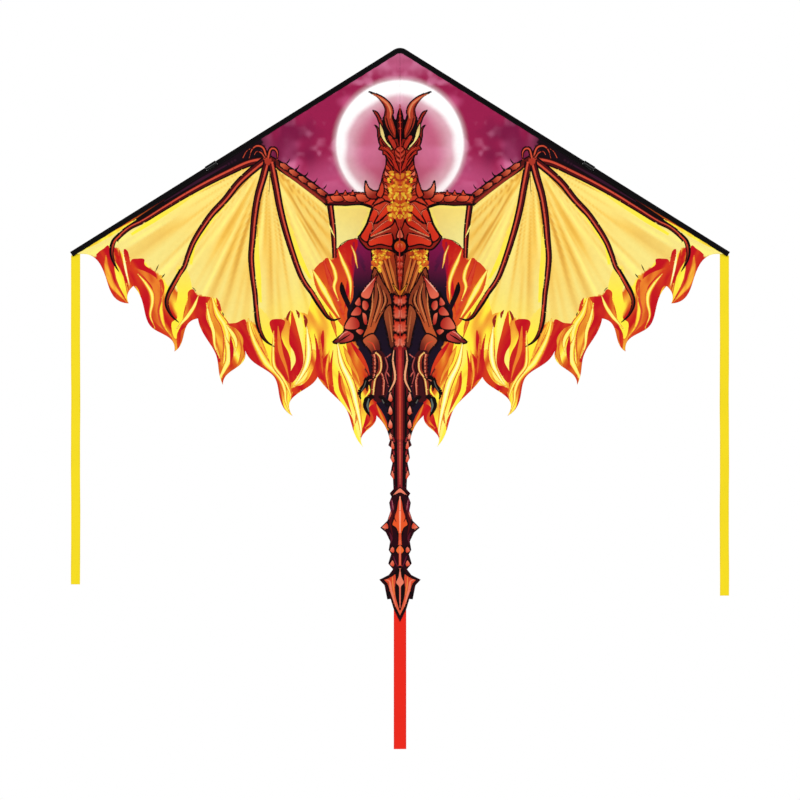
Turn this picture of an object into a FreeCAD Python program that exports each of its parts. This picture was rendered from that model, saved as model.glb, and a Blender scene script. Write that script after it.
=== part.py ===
import FreeCAD, Part

import math
import os

from FreeCAD import Placement, Rotation, Vector

# Delta kite with a printed sail, in millimetres. +Z is up, the printed face looks along -Y, and X = 0 is
# the plane of symmetry. The origin is the centre of the tow eyelet. "Drop" is the distance below the nose.

SIZES = {
    "tow_drop": 330.0,  # nose down to the tow eyelet
    "sail_depth": 140.0,  # tow eyelet back to the sail
    "half_span": 700.0,
    "edge_angle": 32.0,  # degrees that each leading edge falls below the horizontal
    "apex_rise": 4.4,  # corner of the two leading edges above the rounded nose
    "cloth": 0.5,  # thickness of every single layer of cloth
    "slot": 0.6,  # gap between two layers that hold the sail's edge
    "band_width": 11.5,  # leading edge sleeve, from the edge to its seam
    "sleeve_radius": 3.4,
    "sleeve_bore": 2.9,
    "lip_thickness": 1.6,  # both layers of a sleeve's seam with the sail between them
    "spar_radius": 2.0,
    "cap_radius": 2.8,
    "cap_length": 18.0,
    "cap_end": 2.0,  # closed end of a rod's cap
    "sleeve_start": 28.4,  # distances along the leading edge from the corner at the nose
    "spar_start": 36.0,
    "sleeve_end": 803.0,
    "pocket_start": 803.6,
    "window_length": 29.0,  # opening in the sleeve where the spreader's hook grips the spar
    "window_reach": 8.4,
    "hinge_offset": 10.0,  # the sail folds this far each side of the spine
    "strip_half": 9.6,
    "strip_top": 6.0,
    "sail_end": 832.0,  # drop of the sail's lower end
    "spine_radius": 2.5,
    "spine_top": 20.0,
    "spine_length": 800.0,
    "spine_cap_radius": 3.3,
    "spine_offset": 3.6,  # spine's centre line behind the sail
    "pocket_radius": 4.1,
    "pocket_bore": 3.6,
    "pocket_flange": 18.0,
    "nose_thickness": 2.4,
    "keel_top": 120.0,
    "keel_bottom": 640.0,
    "keel_gap": 2.5,
    "keel_apex_radius": 20.0,
    "binding_width": 7.0,
    "binding_fold": 0.6,
    "patch_radius": 12.4,
    "patch_thickness": 0.4,
    "eyelet_bore": 3.0,
    "eyelet_barrel": 3.5,
    "eyelet_hole": 3.6,
    "eyelet_flange": 6.5,
    "eyelet_length": 3.2,
    "flange_thickness": 0.5,
    "spreader_drop": 250.0,
    "spreader_offset": 10.3,
    "spreader_half": 398.0,
    "socket_radius": 3.8,
    "socket_bore": 2.05,
    "socket_length": 36.0,
    "hook_width": 9.2,
    "hook_length": 26.0,
    "hook_jaw": 3.6,
    "hook_bore": 2.3,
    "streamer_width": 19.4,
    "streamer_top": 444.5,
    "streamer_bottom_left": 1138.0,
    "streamer_bottom_right": 1162.0,
    "streamer_offset": 1.4,
    "tail_top": 833.3,
    "red_width": 26.5,
    "red_top": 1186.0,
    "red_bottom": 1488.0,
    "red_offset": 1.2,
}

doc = FreeCAD.newDocument("dragon_kite")
sheet = doc.addObject("Spreadsheet::Sheet", "Sizes")
for row, (alias, value) in enumerate(SIZES.items(), start=1):
    sheet.set(f"A{row}", alias)
    sheet.set(f"B{row}", str(value))
    sheet.setAlias(f"B{row}", alias)
doc.recompute()

node_objects = []


def size(alias):
    """The value that the sheet holds under this alias."""
    return float(getattr(sheet, alias))


def height_at(drop):
    """Z of a point this far below the nose."""
    return size("tow_drop") - drop


def sail_point(x, drop):
    """A point of the sail's middle plane."""
    return Vector(x, size("sail_depth"), height_at(drop))


ANGLE = math.radians(size("edge_angle"))
SAIL = size("sail_depth")
CLOTH = size("cloth")
FAR = 40.0  # length of a cutting tool past what it cuts
UPRIGHT = Rotation()
ALONG_X = Rotation(Vector(0, 1, 0), 90)


def keep(obj, label, place=None):
    """Names a finished sub-part, places it and lists it for export."""
    obj.Label = label
    if place is not None:
        obj.Placement = place
    node_objects.append(obj)
    return obj


# Bound primitives and booleans

def cylinder(name, radius, height, place=None):
    obj = doc.addObject("Part::Cylinder", name)
    obj.setExpression("Radius", radius)
    obj.setExpression("Height", height)
    obj.Placement = place or Placement()
    return obj


def box(name, length, width, height, corner):
    obj = doc.addObject("Part::Box", name)
    obj.setExpression("Length", length)
    obj.setExpression("Width", width)
    obj.setExpression("Height", height)
    obj.Placement = Placement(corner, UPRIGHT)
    return obj


def fuse(name, first, second):
    obj = doc.addObject("Part::Fuse", name)
    obj.Base = first
    obj.Tool = second
    return obj


def cut(name, base, tool):
    obj = doc.addObject("Part::Cut", name)
    obj.Base = base
    obj.Tool = tool
    return obj


def shape_part(label, shape):
    """A sub-part whose free outline is set by Part's own functions."""
    obj = doc.addObject("Part::Feature", label)
    obj.Shape = shape
    return keep(obj, label, Placement())


# Bodies with sketches

def new_body(label):
    return doc.addObject("PartDesign::Body", label)


def new_sketch(body, role):
    sketch = body.newObject("Sketcher::SketchObject", body.Name + "_sketch")
    plane = next(item for item in body.Origin.OriginFeatures if item.Role == role)
    sketch.AttachmentSupport = [(plane, "")]
    sketch.MapMode = "FlatFace"
    return sketch


def pad(body, sketch, length, both_ways=False):
    feature = body.newObject("PartDesign::Pad", body.Name + "_pad")
    feature.Profile = sketch
    feature.setExpression("Length", length)
    if both_ways:
        feature.SideType = "Symmetric"
    body.Tip = feature
    return feature


def rod(label, radius, length, place):
    """A round rod along its own Z."""
    import Sketcher
    body = new_body(label)
    sketch = new_sketch(body, "XY_Plane")
    sketch.addGeometry(Part.Circle(Vector(), Vector(0, 0, 1), 1.0), False)
    sketch.addConstraint(Sketcher.Constraint("Coincident", 0, 3, -1, 1))
    index = sketch.addConstraint(Sketcher.Constraint("Radius", 0, 1.0))
    sketch.setExpression(f"Constraints[{index}]", radius)
    pad(body, sketch, length)
    return keep(body, label, place)


def strip(label, width, length, thickness, place):
    """A flat strip that hangs from the middle of its top edge, in its own XZ plane."""
    import Sketcher
    body = new_body(label)
    sketch = new_sketch(body, "XZ_Plane")
    corners = [Vector(-1, 0, 0), Vector(1, 0, 0), Vector(1, -2, 0), Vector(-1, -2, 0)]
    for index in range(4):
        sketch.addGeometry(Part.LineSegment(corners[index], corners[(index + 1) % 4]), False)
    for index in range(4):
        sketch.addConstraint(Sketcher.Constraint("Coincident", index, 2, (index + 1) % 4, 1))
    for index, direction in enumerate(("Horizontal", "Vertical", "Horizontal", "Vertical")):
        sketch.addConstraint(Sketcher.Constraint(direction, index))
    sketch.addConstraint(Sketcher.Constraint("Symmetric", 0, 1, 0, 2, -1, 1))
    width_index = sketch.addConstraint(Sketcher.Constraint("DistanceX", 0, 1, 0, 2, 2.0))
    length_index = sketch.addConstraint(Sketcher.Constraint("DistanceY", 1, 2, 1, 1, 2.0))
    sketch.setExpression(f"Constraints[{width_index}]", width)
    sketch.setExpression(f"Constraints[{length_index}]", length)
    pad(body, sketch, thickness, both_ways=True)
    return keep(body, label, place)


def end_cap(label, outer, inner, place):
    """A soft cap over a rod's end: its closed end is at its own Z = 0 and the rod leaves along +Z."""
    solid = cylinder(label + "_outside", outer, "Sizes.cap_length")
    hole = cylinder(label + "_hole", inner, "Sizes.cap_length", Placement(Vector(0, 0, size("cap_end")), UPRIGHT))
    return keep(cut(label, solid, hole), label, place)


# The leading edges' own frame: X runs from the edge into the sail, and Z from the nose to the wing tip

def edge_frame(side):
    """Placement of one leading edge, side -1 for the left wing and 1 for the right."""
    along = Vector(side * math.cos(ANGLE), 0, -math.sin(ANGLE))
    inward = Vector(-side * math.sin(ANGLE), 0, -math.cos(ANGLE))
    turn = Rotation(inward, along.cross(inward), along, "ZXY")
    return Placement(sail_point(0, -size("apex_rise")), turn)


def edge_point(side, distance, depth, offset=0.0):
    """Point at a distance along a leading edge and a depth into the sail."""
    return edge_frame(side).multVec(Vector(depth, offset, distance))


TIP_END = size("half_span") / math.cos(ANGLE)
SPAR_DEPTH = size("sleeve_radius")
HOOK_DISTANCE = (size("spreader_drop") + size("apex_rise") - SPAR_DEPTH * math.cos(ANGLE)) / math.sin(ANGLE)


def sleeve_section(name, start, length, bore_start, bore_length):
    """A tube with two lips that hold the sail's edge, from start over length along the leading edge."""
    half_lip = size("lip_thickness") / 2
    half_slot = size("slot") / 2
    tube = cylinder(name + "_tube", "Sizes.sleeve_radius", length, Placement(Vector(SPAR_DEPTH, 0, start), UPRIGHT))
    lips = box(name + "_lips", "Sizes.band_width - Sizes.sleeve_radius", "Sizes.lip_thickness", length,
               Vector(SPAR_DEPTH, -half_lip, start))
    bore = cylinder(name + "_bore", "Sizes.sleeve_bore", bore_length,
                    Placement(Vector(SPAR_DEPTH, 0, bore_start), UPRIGHT))
    gap = box(name + "_gap", "Sizes.band_width", "Sizes.slot", bore_length,
              Vector(SPAR_DEPTH, -half_slot, bore_start))
    return cut(name, fuse(name + "_outside", tube, lips), fuse(name + "_inside", bore, gap))


def edge_sleeve(label, side):
    start = size("sleeve_start")
    section = sleeve_section(label + "_section", start, "Sizes.sleeve_end - Sizes.sleeve_start",
                             start - FAR, f"Sizes.sleeve_end + {FAR}")
    corner = Vector(-FAR, -FAR / 2, HOOK_DISTANCE - size("window_length") / 2)
    window = box(label + "_window", f"Sizes.window_reach + {FAR}", str(FAR), "Sizes.window_length", corner)
    return keep(cut(label, section, window), label, edge_frame(side))


def tip_pocket(label, side):
    """Closed end of the sleeve at the wing tip."""
    start = size("pocket_start")
    length = "Sizes.half_span / cos(Sizes.edge_angle * 1 deg) - Sizes.pocket_start"
    section = sleeve_section(label, start, length, start - size("cap_end"), length)
    return keep(section, label, edge_frame(side))


def edge_spar(side, name):
    frame = edge_frame(side)
    pocket_floor = TIP_END - size("cap_end")
    end = pocket_floor - size("cap_end") - 1.0
    start = Vector(SPAR_DEPTH, 0, size("spar_start"))
    rod(f"edge_spar_{name}", "Sizes.spar_radius", f"{end} - Sizes.spar_start",
        frame.multiply(Placement(start, UPRIGHT)))
    cap_start = Vector(SPAR_DEPTH, 0, size("spar_start") - size("cap_end"))
    end_cap(f"spar_nose_cap_{name}", "Sizes.cap_radius", "Sizes.spar_radius",
            frame.multiply(Placement(cap_start, UPRIGHT)))
    turned = Rotation(Vector(1, 0, 0), 180)
    cap_end = Vector(SPAR_DEPTH, 0, end + size("cap_end"))
    end_cap(f"spar_tip_cap_{name}", "Sizes.cap_radius", "Sizes.spar_radius",
            frame.multiply(Placement(cap_end, turned)))


# The sail: each flame of the trailing edge is two curves between a valley and a tip, given as (x, drop) of
# the left wing

FLAMES = [
    [(-684, 438), (-643, 450), (-625, 485), (-608, 527), (-576, 542)],
    [(-576, 542), (-579, 528), (-566, 505)],
    [(-566, 505), (-548, 535), (-528, 592), (-484, 621), (-479, 644)],
    [(-479, 644), (-463, 623), (-455, 594), (-429, 574)],
    [(-429, 574), (-415, 610), (-389, 656), (-384, 690), (-376, 715)],
    [(-376, 715), (-367, 693), (-336, 669), (-329, 642)],
    [(-329, 642), (-308, 669), (-266, 700), (-255, 744), (-228, 781)],
    [(-228, 781), (-232, 748), (-199, 722), (-175, 698)],
    [(-175, 698), (-150, 728), (-113, 769), (-98, 815), (-78, 847)],
    [(-78, 847), (-79, 821), (-59, 802), (-50, 780)],
    [(-50, 780), (-31, 804), (-22, 832)],
]


def curve_through(points):
    curve = Part.BSplineCurve()
    curve.interpolate(points)
    return curve.toShape()


def moved(shape, step):
    """A copy of the shape whose own geometry is shifted."""
    return shape.transformed(Placement(step, UPRIGHT).toMatrix(), True)


def lines_through(points):
    return [Part.LineSegment(first, last).toShape() for first, last in zip(points, points[1:])]


def cloth_plate(edges, thickness=CLOTH):
    """A flat closed plate about the sail's middle plane."""
    face = Part.Face(Part.Wire(Part.__sortEdges__(edges)))
    return moved(face.extrude(Vector(0, thickness, 0)), Vector(0, -thickness / 2, 0))


def sail_half(label, side):
    curves = []
    for flame in FLAMES:
        curves.append(curve_through([sail_point(-side * x, drop) for x, drop in flame]))
    edge_depth = size("window_reach") + 0.6
    below_band = size("band_width") + 0.6
    inner = size("hinge_offset") + 0.3
    step = size("sleeve_start") + 0.6
    inner_distance = (inner + below_band * math.sin(ANGLE)) / math.cos(ANGLE)
    outline = [
        sail_point(side * inner, size("sail_end")),
        edge_point(side, inner_distance, below_band),
        edge_point(side, step, below_band),
        edge_point(side, step, edge_depth),
        edge_point(side, TIP_END - 12, edge_depth),
        sail_point(-side * FLAMES[0][0][0], FLAMES[0][0][1]),
    ]
    end = sail_point(-side * FLAMES[-1][-1][0], FLAMES[-1][-1][1])
    return shape_part(label, cloth_plate(lines_through(outline) + curves + lines_through([end, outline[0]])))


# The printed tail below the sail, as (x, drop) of its left side

TAIL_SIDE = [
    (-21, 833.3), (-25, 843), (-18, 849), (-21, 870), (-16, 880), (-21, 905), (-15, 914), (-14, 936),
    (-22, 945), (-18, 952), (-23, 965), (-20, 982), (-27, 1003), (-42, 1018), (-30, 1028), (-21, 1047),
    (-24, 1065), (-19, 1074), (-25, 1094), (-15, 1106), (-24, 1118), (-44, 1128), (-33, 1140), (-27, 1170),
    (-20, 1169), (-14, 1189),
]
TAIL_TIP = (0, 1218)


def dragon_tail():
    left = [sail_point(x, drop) for x, drop in TAIL_SIDE]
    right = [sail_point(-x, drop) for x, drop in reversed(TAIL_SIDE)]
    outline = left + [sail_point(*TAIL_TIP)] + right
    return shape_part("dragon_tail_strip", cloth_plate(lines_through(outline + outline[:1])))


# The nose: a folded patch that joins the two leading edge bands round the corner

def nose_cap():
    width = size("band_width")
    end = size("sleeve_start") - 0.8
    outer_radius = size("apex_rise") / (1 / math.cos(ANGLE) - 1)

    def rounded(depth, radius):
        centre_drop = -size("apex_rise") + depth / math.cos(ANGLE) + radius / math.cos(ANGLE)
        touch_x = radius * math.sin(ANGLE)
        touch_drop = centre_drop - radius * math.cos(ANGLE)
        left = edge_point(-1, end, depth)
        right = edge_point(1, end, depth)
        arc = Part.Arc(sail_point(-touch_x, touch_drop), sail_point(0, centre_drop - radius),
                       sail_point(touch_x, touch_drop)).toShape()
        edges = lines_through([left, sail_point(-touch_x, touch_drop)]) + [arc]
        return left, right, edges + lines_through([sail_point(touch_x, touch_drop), right])

    outer_left, outer_right, outer = rounded(0, outer_radius)
    inner_left, inner_right, inner = rounded(width, outer_radius - width)
    sides = lines_through([outer_left, inner_left]) + lines_through([outer_right, inner_right])
    plate = cloth_plate(outer + inner + sides, size("nose_thickness"))
    half_slot = size("strip_half") + 0.2
    slot = Part.makeBox(2 * half_slot, size("slot"), FAR,
                        Vector(-half_slot, SAIL - size("slot") / 2, height_at(size("strip_top") - 0.4) - FAR))
    return shape_part("nose_cap", plate.cut(slot))


# The spine, held behind the centre strip in a sewn tube

def spine_pocket():
    top = height_at(size("spine_top") - 3.2)
    length = "Sizes.spine_length + 6.4"
    start = height_at(size("spine_top") + size("spine_length") + 3.2)
    behind = SAIL + size("spine_offset")
    half_flange = size("pocket_flange") / 2
    front = SAIL + size("slot") / 2
    tube = cylinder("pocket_tube", "Sizes.pocket_radius", length, Placement(Vector(0, behind, start), UPRIGHT))
    flange = box("pocket_flanges", "Sizes.pocket_flange", "Sizes.cloth", length, Vector(-half_flange, front, start))
    bore = cylinder("pocket_hole", "Sizes.pocket_bore", "Sizes.spine_length + 4",
                    Placement(Vector(0, behind, start + 1.2), UPRIGHT))
    before = box("pocket_front", "Sizes.pocket_flange", "Sizes.pocket_flange", length,
                 Vector(-half_flange, front - size("pocket_flange"), start))
    closed = cut("pocket_shell", fuse("pocket_outside", tube, flange), bore)
    return keep(cut("spine_pocket", closed, before), "spine_pocket")


def spine():
    behind = SAIL + size("spine_offset")
    bottom = height_at(size("spine_top") + size("spine_length"))
    top = height_at(size("spine_top"))
    inset = size("cap_end")
    rod("spine_rod", "Sizes.spine_radius", "Sizes.spine_length - 2 * Sizes.cap_end",
        Placement(Vector(0, behind, bottom + inset), UPRIGHT))
    end_cap("spine_bottom_cap", "Sizes.spine_cap_radius", "Sizes.spine_radius",
            Placement(Vector(0, behind, bottom), UPRIGHT))
    end_cap("spine_top_cap", "Sizes.spine_cap_radius", "Sizes.spine_radius",
            Placement(Vector(0, behind, top), Rotation(Vector(1, 0, 0), 180)))


# The keel: a fin that stands forward from the spine's seam to the tow eyelet

def keel_corners(inset):
    """Upper and lower base corner and apex radius of the fin, with its free edges moved in by inset."""
    base = SAIL - size("keel_gap")
    radius = size("keel_apex_radius")
    corners = []
    for drop, sense in ((size("keel_top"), 1), (size("keel_bottom"), -1)):
        z = height_at(drop)
        reach = math.hypot(base, z)
        touch_angle = math.atan2(z, base) + sense * math.acos(radius / reach)
        corners.append((z - sense * inset / abs(math.sin(touch_angle)), touch_angle))
    return base, radius - inset, corners


def keel_face(inset):
    base, radius, ((top, top_angle), (bottom, bottom_angle)) = keel_corners(inset)

    def on_circle(angle):
        return Vector(0, radius * math.cos(angle), radius * math.sin(angle))

    middle = (top_angle + bottom_angle + 2 * math.pi) / 2
    arc = Part.Arc(on_circle(top_angle), on_circle(middle), on_circle(bottom_angle)).toShape()
    upper = Vector(0, base, top)
    lower = Vector(0, base, bottom)
    edges = lines_through([on_circle(bottom_angle), lower, upper, on_circle(top_angle)])
    return Part.Face(Part.Wire(Part.__sortEdges__(edges + [arc])))


def keel_plate(inset, thickness):
    return moved(keel_face(inset).extrude(Vector(thickness, 0, 0)), Vector(-thickness / 2, 0, 0))


def keel():
    hole = Part.makeCylinder(size("eyelet_hole"), FAR, Vector(-FAR / 2, 0, 0), Vector(1, 0, 0))
    shape_part("keel_panel", keel_plate(0, CLOTH).cut(hole))
    folded = keel_plate(-size("binding_fold"), size("lip_thickness"))
    inside = keel_plate(size("binding_width"), FAR)
    shape_part("keel_binding", folded.cut(inside).cut(keel_plate(0, size("slot"))))
    thickness = size("patch_thickness")
    for side, name in ((-1, "left"), (1, "right")):
        start = size("slot") / 2 if side > 0 else -size("slot") / 2 - thickness
        place = Placement(Vector(start, 0, 0), ALONG_X)
        disc = cylinder(f"patch_disc_{name}", "Sizes.patch_radius", "Sizes.patch_thickness", place)
        bore = cylinder(f"patch_hole_{name}", "Sizes.eyelet_hole", "Sizes.patch_thickness", place)
        keep(cut(f"keel_patch_{name}", disc, bore), f"keel_patch_{name}")


def eyelet():
    face = size("slot") / 2 + size("patch_thickness")
    half = size("eyelet_length") / 2
    start = Placement(Vector(-half, 0, 0), ALONG_X)
    barrel = cylinder("eyelet_tube", "Sizes.eyelet_barrel", "Sizes.eyelet_length", start)
    flange = cylinder("eyelet_rim", "Sizes.eyelet_flange", "Sizes.flange_thickness",
                      Placement(Vector(face, 0, 0), ALONG_X))
    bore = cylinder("eyelet_opening", "Sizes.eyelet_bore", "Sizes.eyelet_length", start)
    keep(cut("tow_eyelet", fuse("eyelet_solid", barrel, flange), bore), "tow_eyelet")
    place = Placement(Vector(-face - size("flange_thickness"), 0, 0), ALONG_X)
    disc = cylinder("washer_disc", "Sizes.eyelet_flange", "Sizes.flange_thickness", place)
    hole = cylinder("washer_hole", "Sizes.eyelet_barrel", "Sizes.flange_thickness", place)
    keep(cut("eyelet_washer", disc, hole), "eyelet_washer")


# The spreader: a rod behind the spine whose two hooks grip the leading edge spars from behind

def spreader_hook(label, side):
    frame = edge_frame(side)
    half = size("hook_width") / 2
    jaw = size("hook_jaw")
    offset = size("spreader_offset")
    back = 1 if frame.Rotation.multVec(Vector(0, 1, 0)).y > 0 else -1
    low = -jaw if back > 0 else -offset
    start = HOOK_DISTANCE - size("hook_length") / 2
    block = box(label + "_block", "Sizes.hook_width", "Sizes.hook_jaw + Sizes.spreader_offset",
                "Sizes.hook_length", Vector(SPAR_DEPTH - half, low, start))
    seat = cylinder(label + "_seat", "Sizes.hook_bore", "Sizes.hook_length",
                    Placement(Vector(SPAR_DEPTH, 0, start), UPRIGHT))
    mouth_low = -FAR if back > 0 else 0
    mouth = box(label + "_mouth", "2 * Sizes.hook_bore", str(FAR), "Sizes.hook_length",
                Vector(SPAR_DEPTH - size("hook_bore"), mouth_low, start))
    jaws = cut(label + "_jaws", block, fuse(label + "_channel", seat, mouth))
    jaws.Placement = frame
    centre = edge_point(side, HOOK_DISTANCE, SPAR_DEPTH)
    outer = abs(centre.x) + half
    turn = Rotation(Vector(0, 1, 0), -90 * side)
    socket_place = Placement(Vector(side * outer, SAIL + offset, centre.z), turn)
    socket = cylinder(label + "_socket", "Sizes.socket_radius", "Sizes.socket_length", socket_place)
    hole_place = Placement(Vector(side * (size("spreader_half") + 0.5), SAIL + offset, centre.z), turn)
    hole = cylinder(label + "_hole", "Sizes.socket_bore", "Sizes.socket_length", hole_place)
    return keep(cut(label, fuse(label + "_solid", jaws, socket), hole), label)


def spreader():
    centre = edge_point(1, HOOK_DISTANCE, SPAR_DEPTH)
    place = Placement(Vector(-size("spreader_half"), SAIL + size("spreader_offset"), centre.z), ALONG_X)
    rod("spreader_rod", "Sizes.spar_radius", "2 * Sizes.spreader_half", place)
    for side, name in ((-1, "left"), (1, "right")):
        spreader_hook(f"spreader_hook_{name}", side)


# Hanging ribbons

def streamers():
    width = size("streamer_width")
    outer = size("half_span") - 2.0
    for side, name in ((-1, "left"), (1, "right")):
        place = Placement(sail_point(side * (outer - width / 2), size("streamer_top"))
                          + Vector(0, size("streamer_offset"), 0), UPRIGHT)
        strip(f"streamer_{name}", "Sizes.streamer_width", f"Sizes.streamer_bottom_{name} - Sizes.streamer_top",
              "Sizes.cloth", place)
    place = Placement(sail_point(0, size("red_top")) + Vector(0, size("red_offset"), 0), UPRIGHT)
    strip("streamer_red", "Sizes.red_width", "Sizes.red_bottom - Sizes.red_top", "Sizes.cloth", place)


spine()
spine_pocket()
strip("centre_strip", "2 * Sizes.strip_half", "Sizes.sail_end - Sizes.strip_top", "Sizes.cloth",
      Placement(sail_point(0, size("strip_top")), UPRIGHT))
nose_cap()
keel()
eyelet()
for side, name in ((-1, "left"), (1, "right")):
    sail_half(f"sail_{name}", side)
    edge_sleeve(f"edge_sleeve_{name}", side)
    tip_pocket(f"tip_pocket_{name}", side)
    edge_spar(side, name)
spreader()
dragon_tail()
streamers()
doc.recompute()

for obj in doc.Objects:
    if "Invalid" in obj.State or "Error" in obj.State:
        raise RuntimeError(f"{obj.Label} failed: {obj.State}")
for obj in node_objects:
    if obj.Shape.isNull() or not obj.Shape.isValid() or obj.Shape.Volume <= 0:
        raise RuntimeError(f"{obj.Label} has no valid shape")

os.makedirs("parts", exist_ok=True)
for obj in node_objects:
    obj.Shape.exportStep(f"parts/{obj.Label}.step")
    bounds = obj.Shape.BoundBox
    print(f"{obj.Label}: {obj.Shape.Volume:.1f} mm3, solids {len(obj.Shape.Solids)}, "
          f"x {bounds.XMin:.1f} {bounds.XMax:.1f}, y {bounds.YMin:.1f} {bounds.YMax:.1f}, "
          f"z {bounds.ZMin:.1f} {bounds.ZMax:.1f}")
print(len(node_objects), "sub-parts")
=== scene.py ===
import math

import bpy
import numpy as np
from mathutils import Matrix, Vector
from mathutils.geometry import delaunay_2d_cdt


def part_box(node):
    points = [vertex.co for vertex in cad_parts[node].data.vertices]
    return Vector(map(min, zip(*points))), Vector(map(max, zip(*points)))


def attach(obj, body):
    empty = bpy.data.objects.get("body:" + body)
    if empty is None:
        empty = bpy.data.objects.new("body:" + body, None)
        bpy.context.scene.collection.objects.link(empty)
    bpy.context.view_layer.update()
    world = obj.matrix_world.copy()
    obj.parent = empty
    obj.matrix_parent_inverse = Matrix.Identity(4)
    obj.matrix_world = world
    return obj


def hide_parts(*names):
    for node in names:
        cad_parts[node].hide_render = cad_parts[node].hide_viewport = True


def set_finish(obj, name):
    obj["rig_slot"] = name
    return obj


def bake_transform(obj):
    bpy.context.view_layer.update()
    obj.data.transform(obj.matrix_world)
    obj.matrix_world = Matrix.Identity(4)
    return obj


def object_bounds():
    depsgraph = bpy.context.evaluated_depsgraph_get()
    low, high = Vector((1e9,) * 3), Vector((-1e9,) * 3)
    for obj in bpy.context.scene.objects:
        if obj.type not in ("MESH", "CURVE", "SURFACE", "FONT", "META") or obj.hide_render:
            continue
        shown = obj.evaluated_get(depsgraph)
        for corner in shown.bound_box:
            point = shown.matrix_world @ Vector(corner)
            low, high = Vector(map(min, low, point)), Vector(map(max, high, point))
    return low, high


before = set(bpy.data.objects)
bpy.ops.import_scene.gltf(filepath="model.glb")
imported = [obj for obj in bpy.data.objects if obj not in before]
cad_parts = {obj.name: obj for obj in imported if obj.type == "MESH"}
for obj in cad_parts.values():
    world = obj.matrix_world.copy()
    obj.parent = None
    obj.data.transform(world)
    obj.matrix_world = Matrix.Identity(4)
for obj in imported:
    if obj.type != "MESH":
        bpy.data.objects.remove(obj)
CAD_LOW, CAD_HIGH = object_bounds()

# ---- Places, from the frame ----
# The print is drawn in millimetres: x outwards from the spine, and drop below the nose.

MM = 0.001
NOSE_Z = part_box("nose_cap")[1].z
SAIL_LOW, SAIL_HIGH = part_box("sail_left")
SAIL_Y = (SAIL_LOW.y + SAIL_HIGH.y) / 2
SPAN_HALF = CAD_HIGH.x / MM
SAIL_END = 832.0
EDGE_ANGLE = math.radians(32.0)  # of the leading edge below the horizontal
APEX_RISE = 4.4  # from the rounded nose up to where the straight edges would meet
NOSE_RADIUS = APEX_RISE / (1 / math.cos(EDGE_ANGLE) - 1)
BAND_WIDTH = 11.5  # of the black sleeve on the leading edge


def place(side, x, drop, y=0.0):
    """A point of the frame, in metres, from the print's millimetres and y mm behind the sail's plane."""
    return Vector((side * x * MM, SAIL_Y + y * MM, NOSE_Z - drop * MM))


def edge_drop(x, depth=0.0):
    """Drop of the line that runs this deep inside the leading edge."""
    return x * math.tan(EDGE_ANGLE) - APEX_RISE + depth / math.cos(EDGE_ANGLE)


# ---- Colours and noise for the print ----

def rgb(red, green, blue):
    """Linear colour from display values of 0 to 255."""
    values = np.array([red, green, blue], float) / 255
    return tuple(np.where(values <= 0.04045, values / 12.92, ((values + 0.055) / 1.055) ** 2.4))


INK = rgb(14, 3, 6)
NIGHT = rgb(22, 6, 18)
PLUM = rgb(96, 16, 58)
CRIMSON = rgb(150, 28, 74)
ROSE = rgb(200, 84, 132)
BLUSH = rgb(222, 132, 172)
MOON = rgb(255, 252, 253)
MAROON = rgb(76, 8, 14)
RUST = rgb(146, 34, 24)
EMBER = rgb(208, 66, 40)
SCALE = rgb(226, 62, 34)
CORAL = rgb(238, 122, 92)
RED = rgb(192, 22, 22)
ORANGE = rgb(216, 96, 27)
AMBER = rgb(239, 165, 52)
YELLOW = rgb(255, 232, 62)
PALE = rgb(253, 240, 128)
SKIN = rgb(247, 221, 120)
GOLD = rgb(242, 190, 74)
WHITE_HOT = rgb(255, 248, 190)
HOT = (AMBER, YELLOW, PALE)

LATTICES = 4
LATTICE_SIZE = 64  # points on each side, after which the noise repeats
LATTICE_START = 200  # keeps every coordinate on the lattice positive
LATTICE = np.random.RandomState(11).rand(LATTICES, LATTICE_SIZE, LATTICE_SIZE)


def noise(x, y, size, seed):
    """Smooth noise from 0 to 1 with features of this size."""
    u, v = np.asarray(x) / size + LATTICE_START, np.asarray(y) / size + LATTICE_START
    i, j = np.floor(u).astype(int), np.floor(v).astype(int)
    f, g = u - i, v - j
    f, g = f * f * (3 - 2 * f), g * g * (3 - 2 * g)
    grid = LATTICE[seed % LATTICES]
    corner = [grid[(i + a) % LATTICE_SIZE, (j + b) % LATTICE_SIZE] for a in (0, 1) for b in (0, 1)]
    return (corner[0] * (1 - f) + corner[2] * f) * (1 - g) + (corner[1] * (1 - f) + corner[3] * f) * g


def clouds(x, y, size, seed):
    """Noise in three sizes, from 0 to 1."""
    total = noise(x, y, size, seed) * 0.5 + noise(x, y, size / 2.1, seed + 1) * 0.28
    return total + noise(x, y, size / 4.3, seed + 2) * 0.22


def ramp(value, low, high):
    """0 below low, 1 above high, smooth between."""
    t = np.clip((value - low) / (high - low), 0, 1)
    return t * t * (3 - 2 * t)


def mix(first, second, share):
    share = np.asarray(share)[..., None]
    return first * (1 - share) + second * share


# ---- Drawing: every layer is a closed outline and a paint, later ones on top ----

STEP = 2.4  # mm between points of a drawn line
RING_RUN = 12  # points of an outline that one piece of its ink line covers
layers = []


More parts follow.
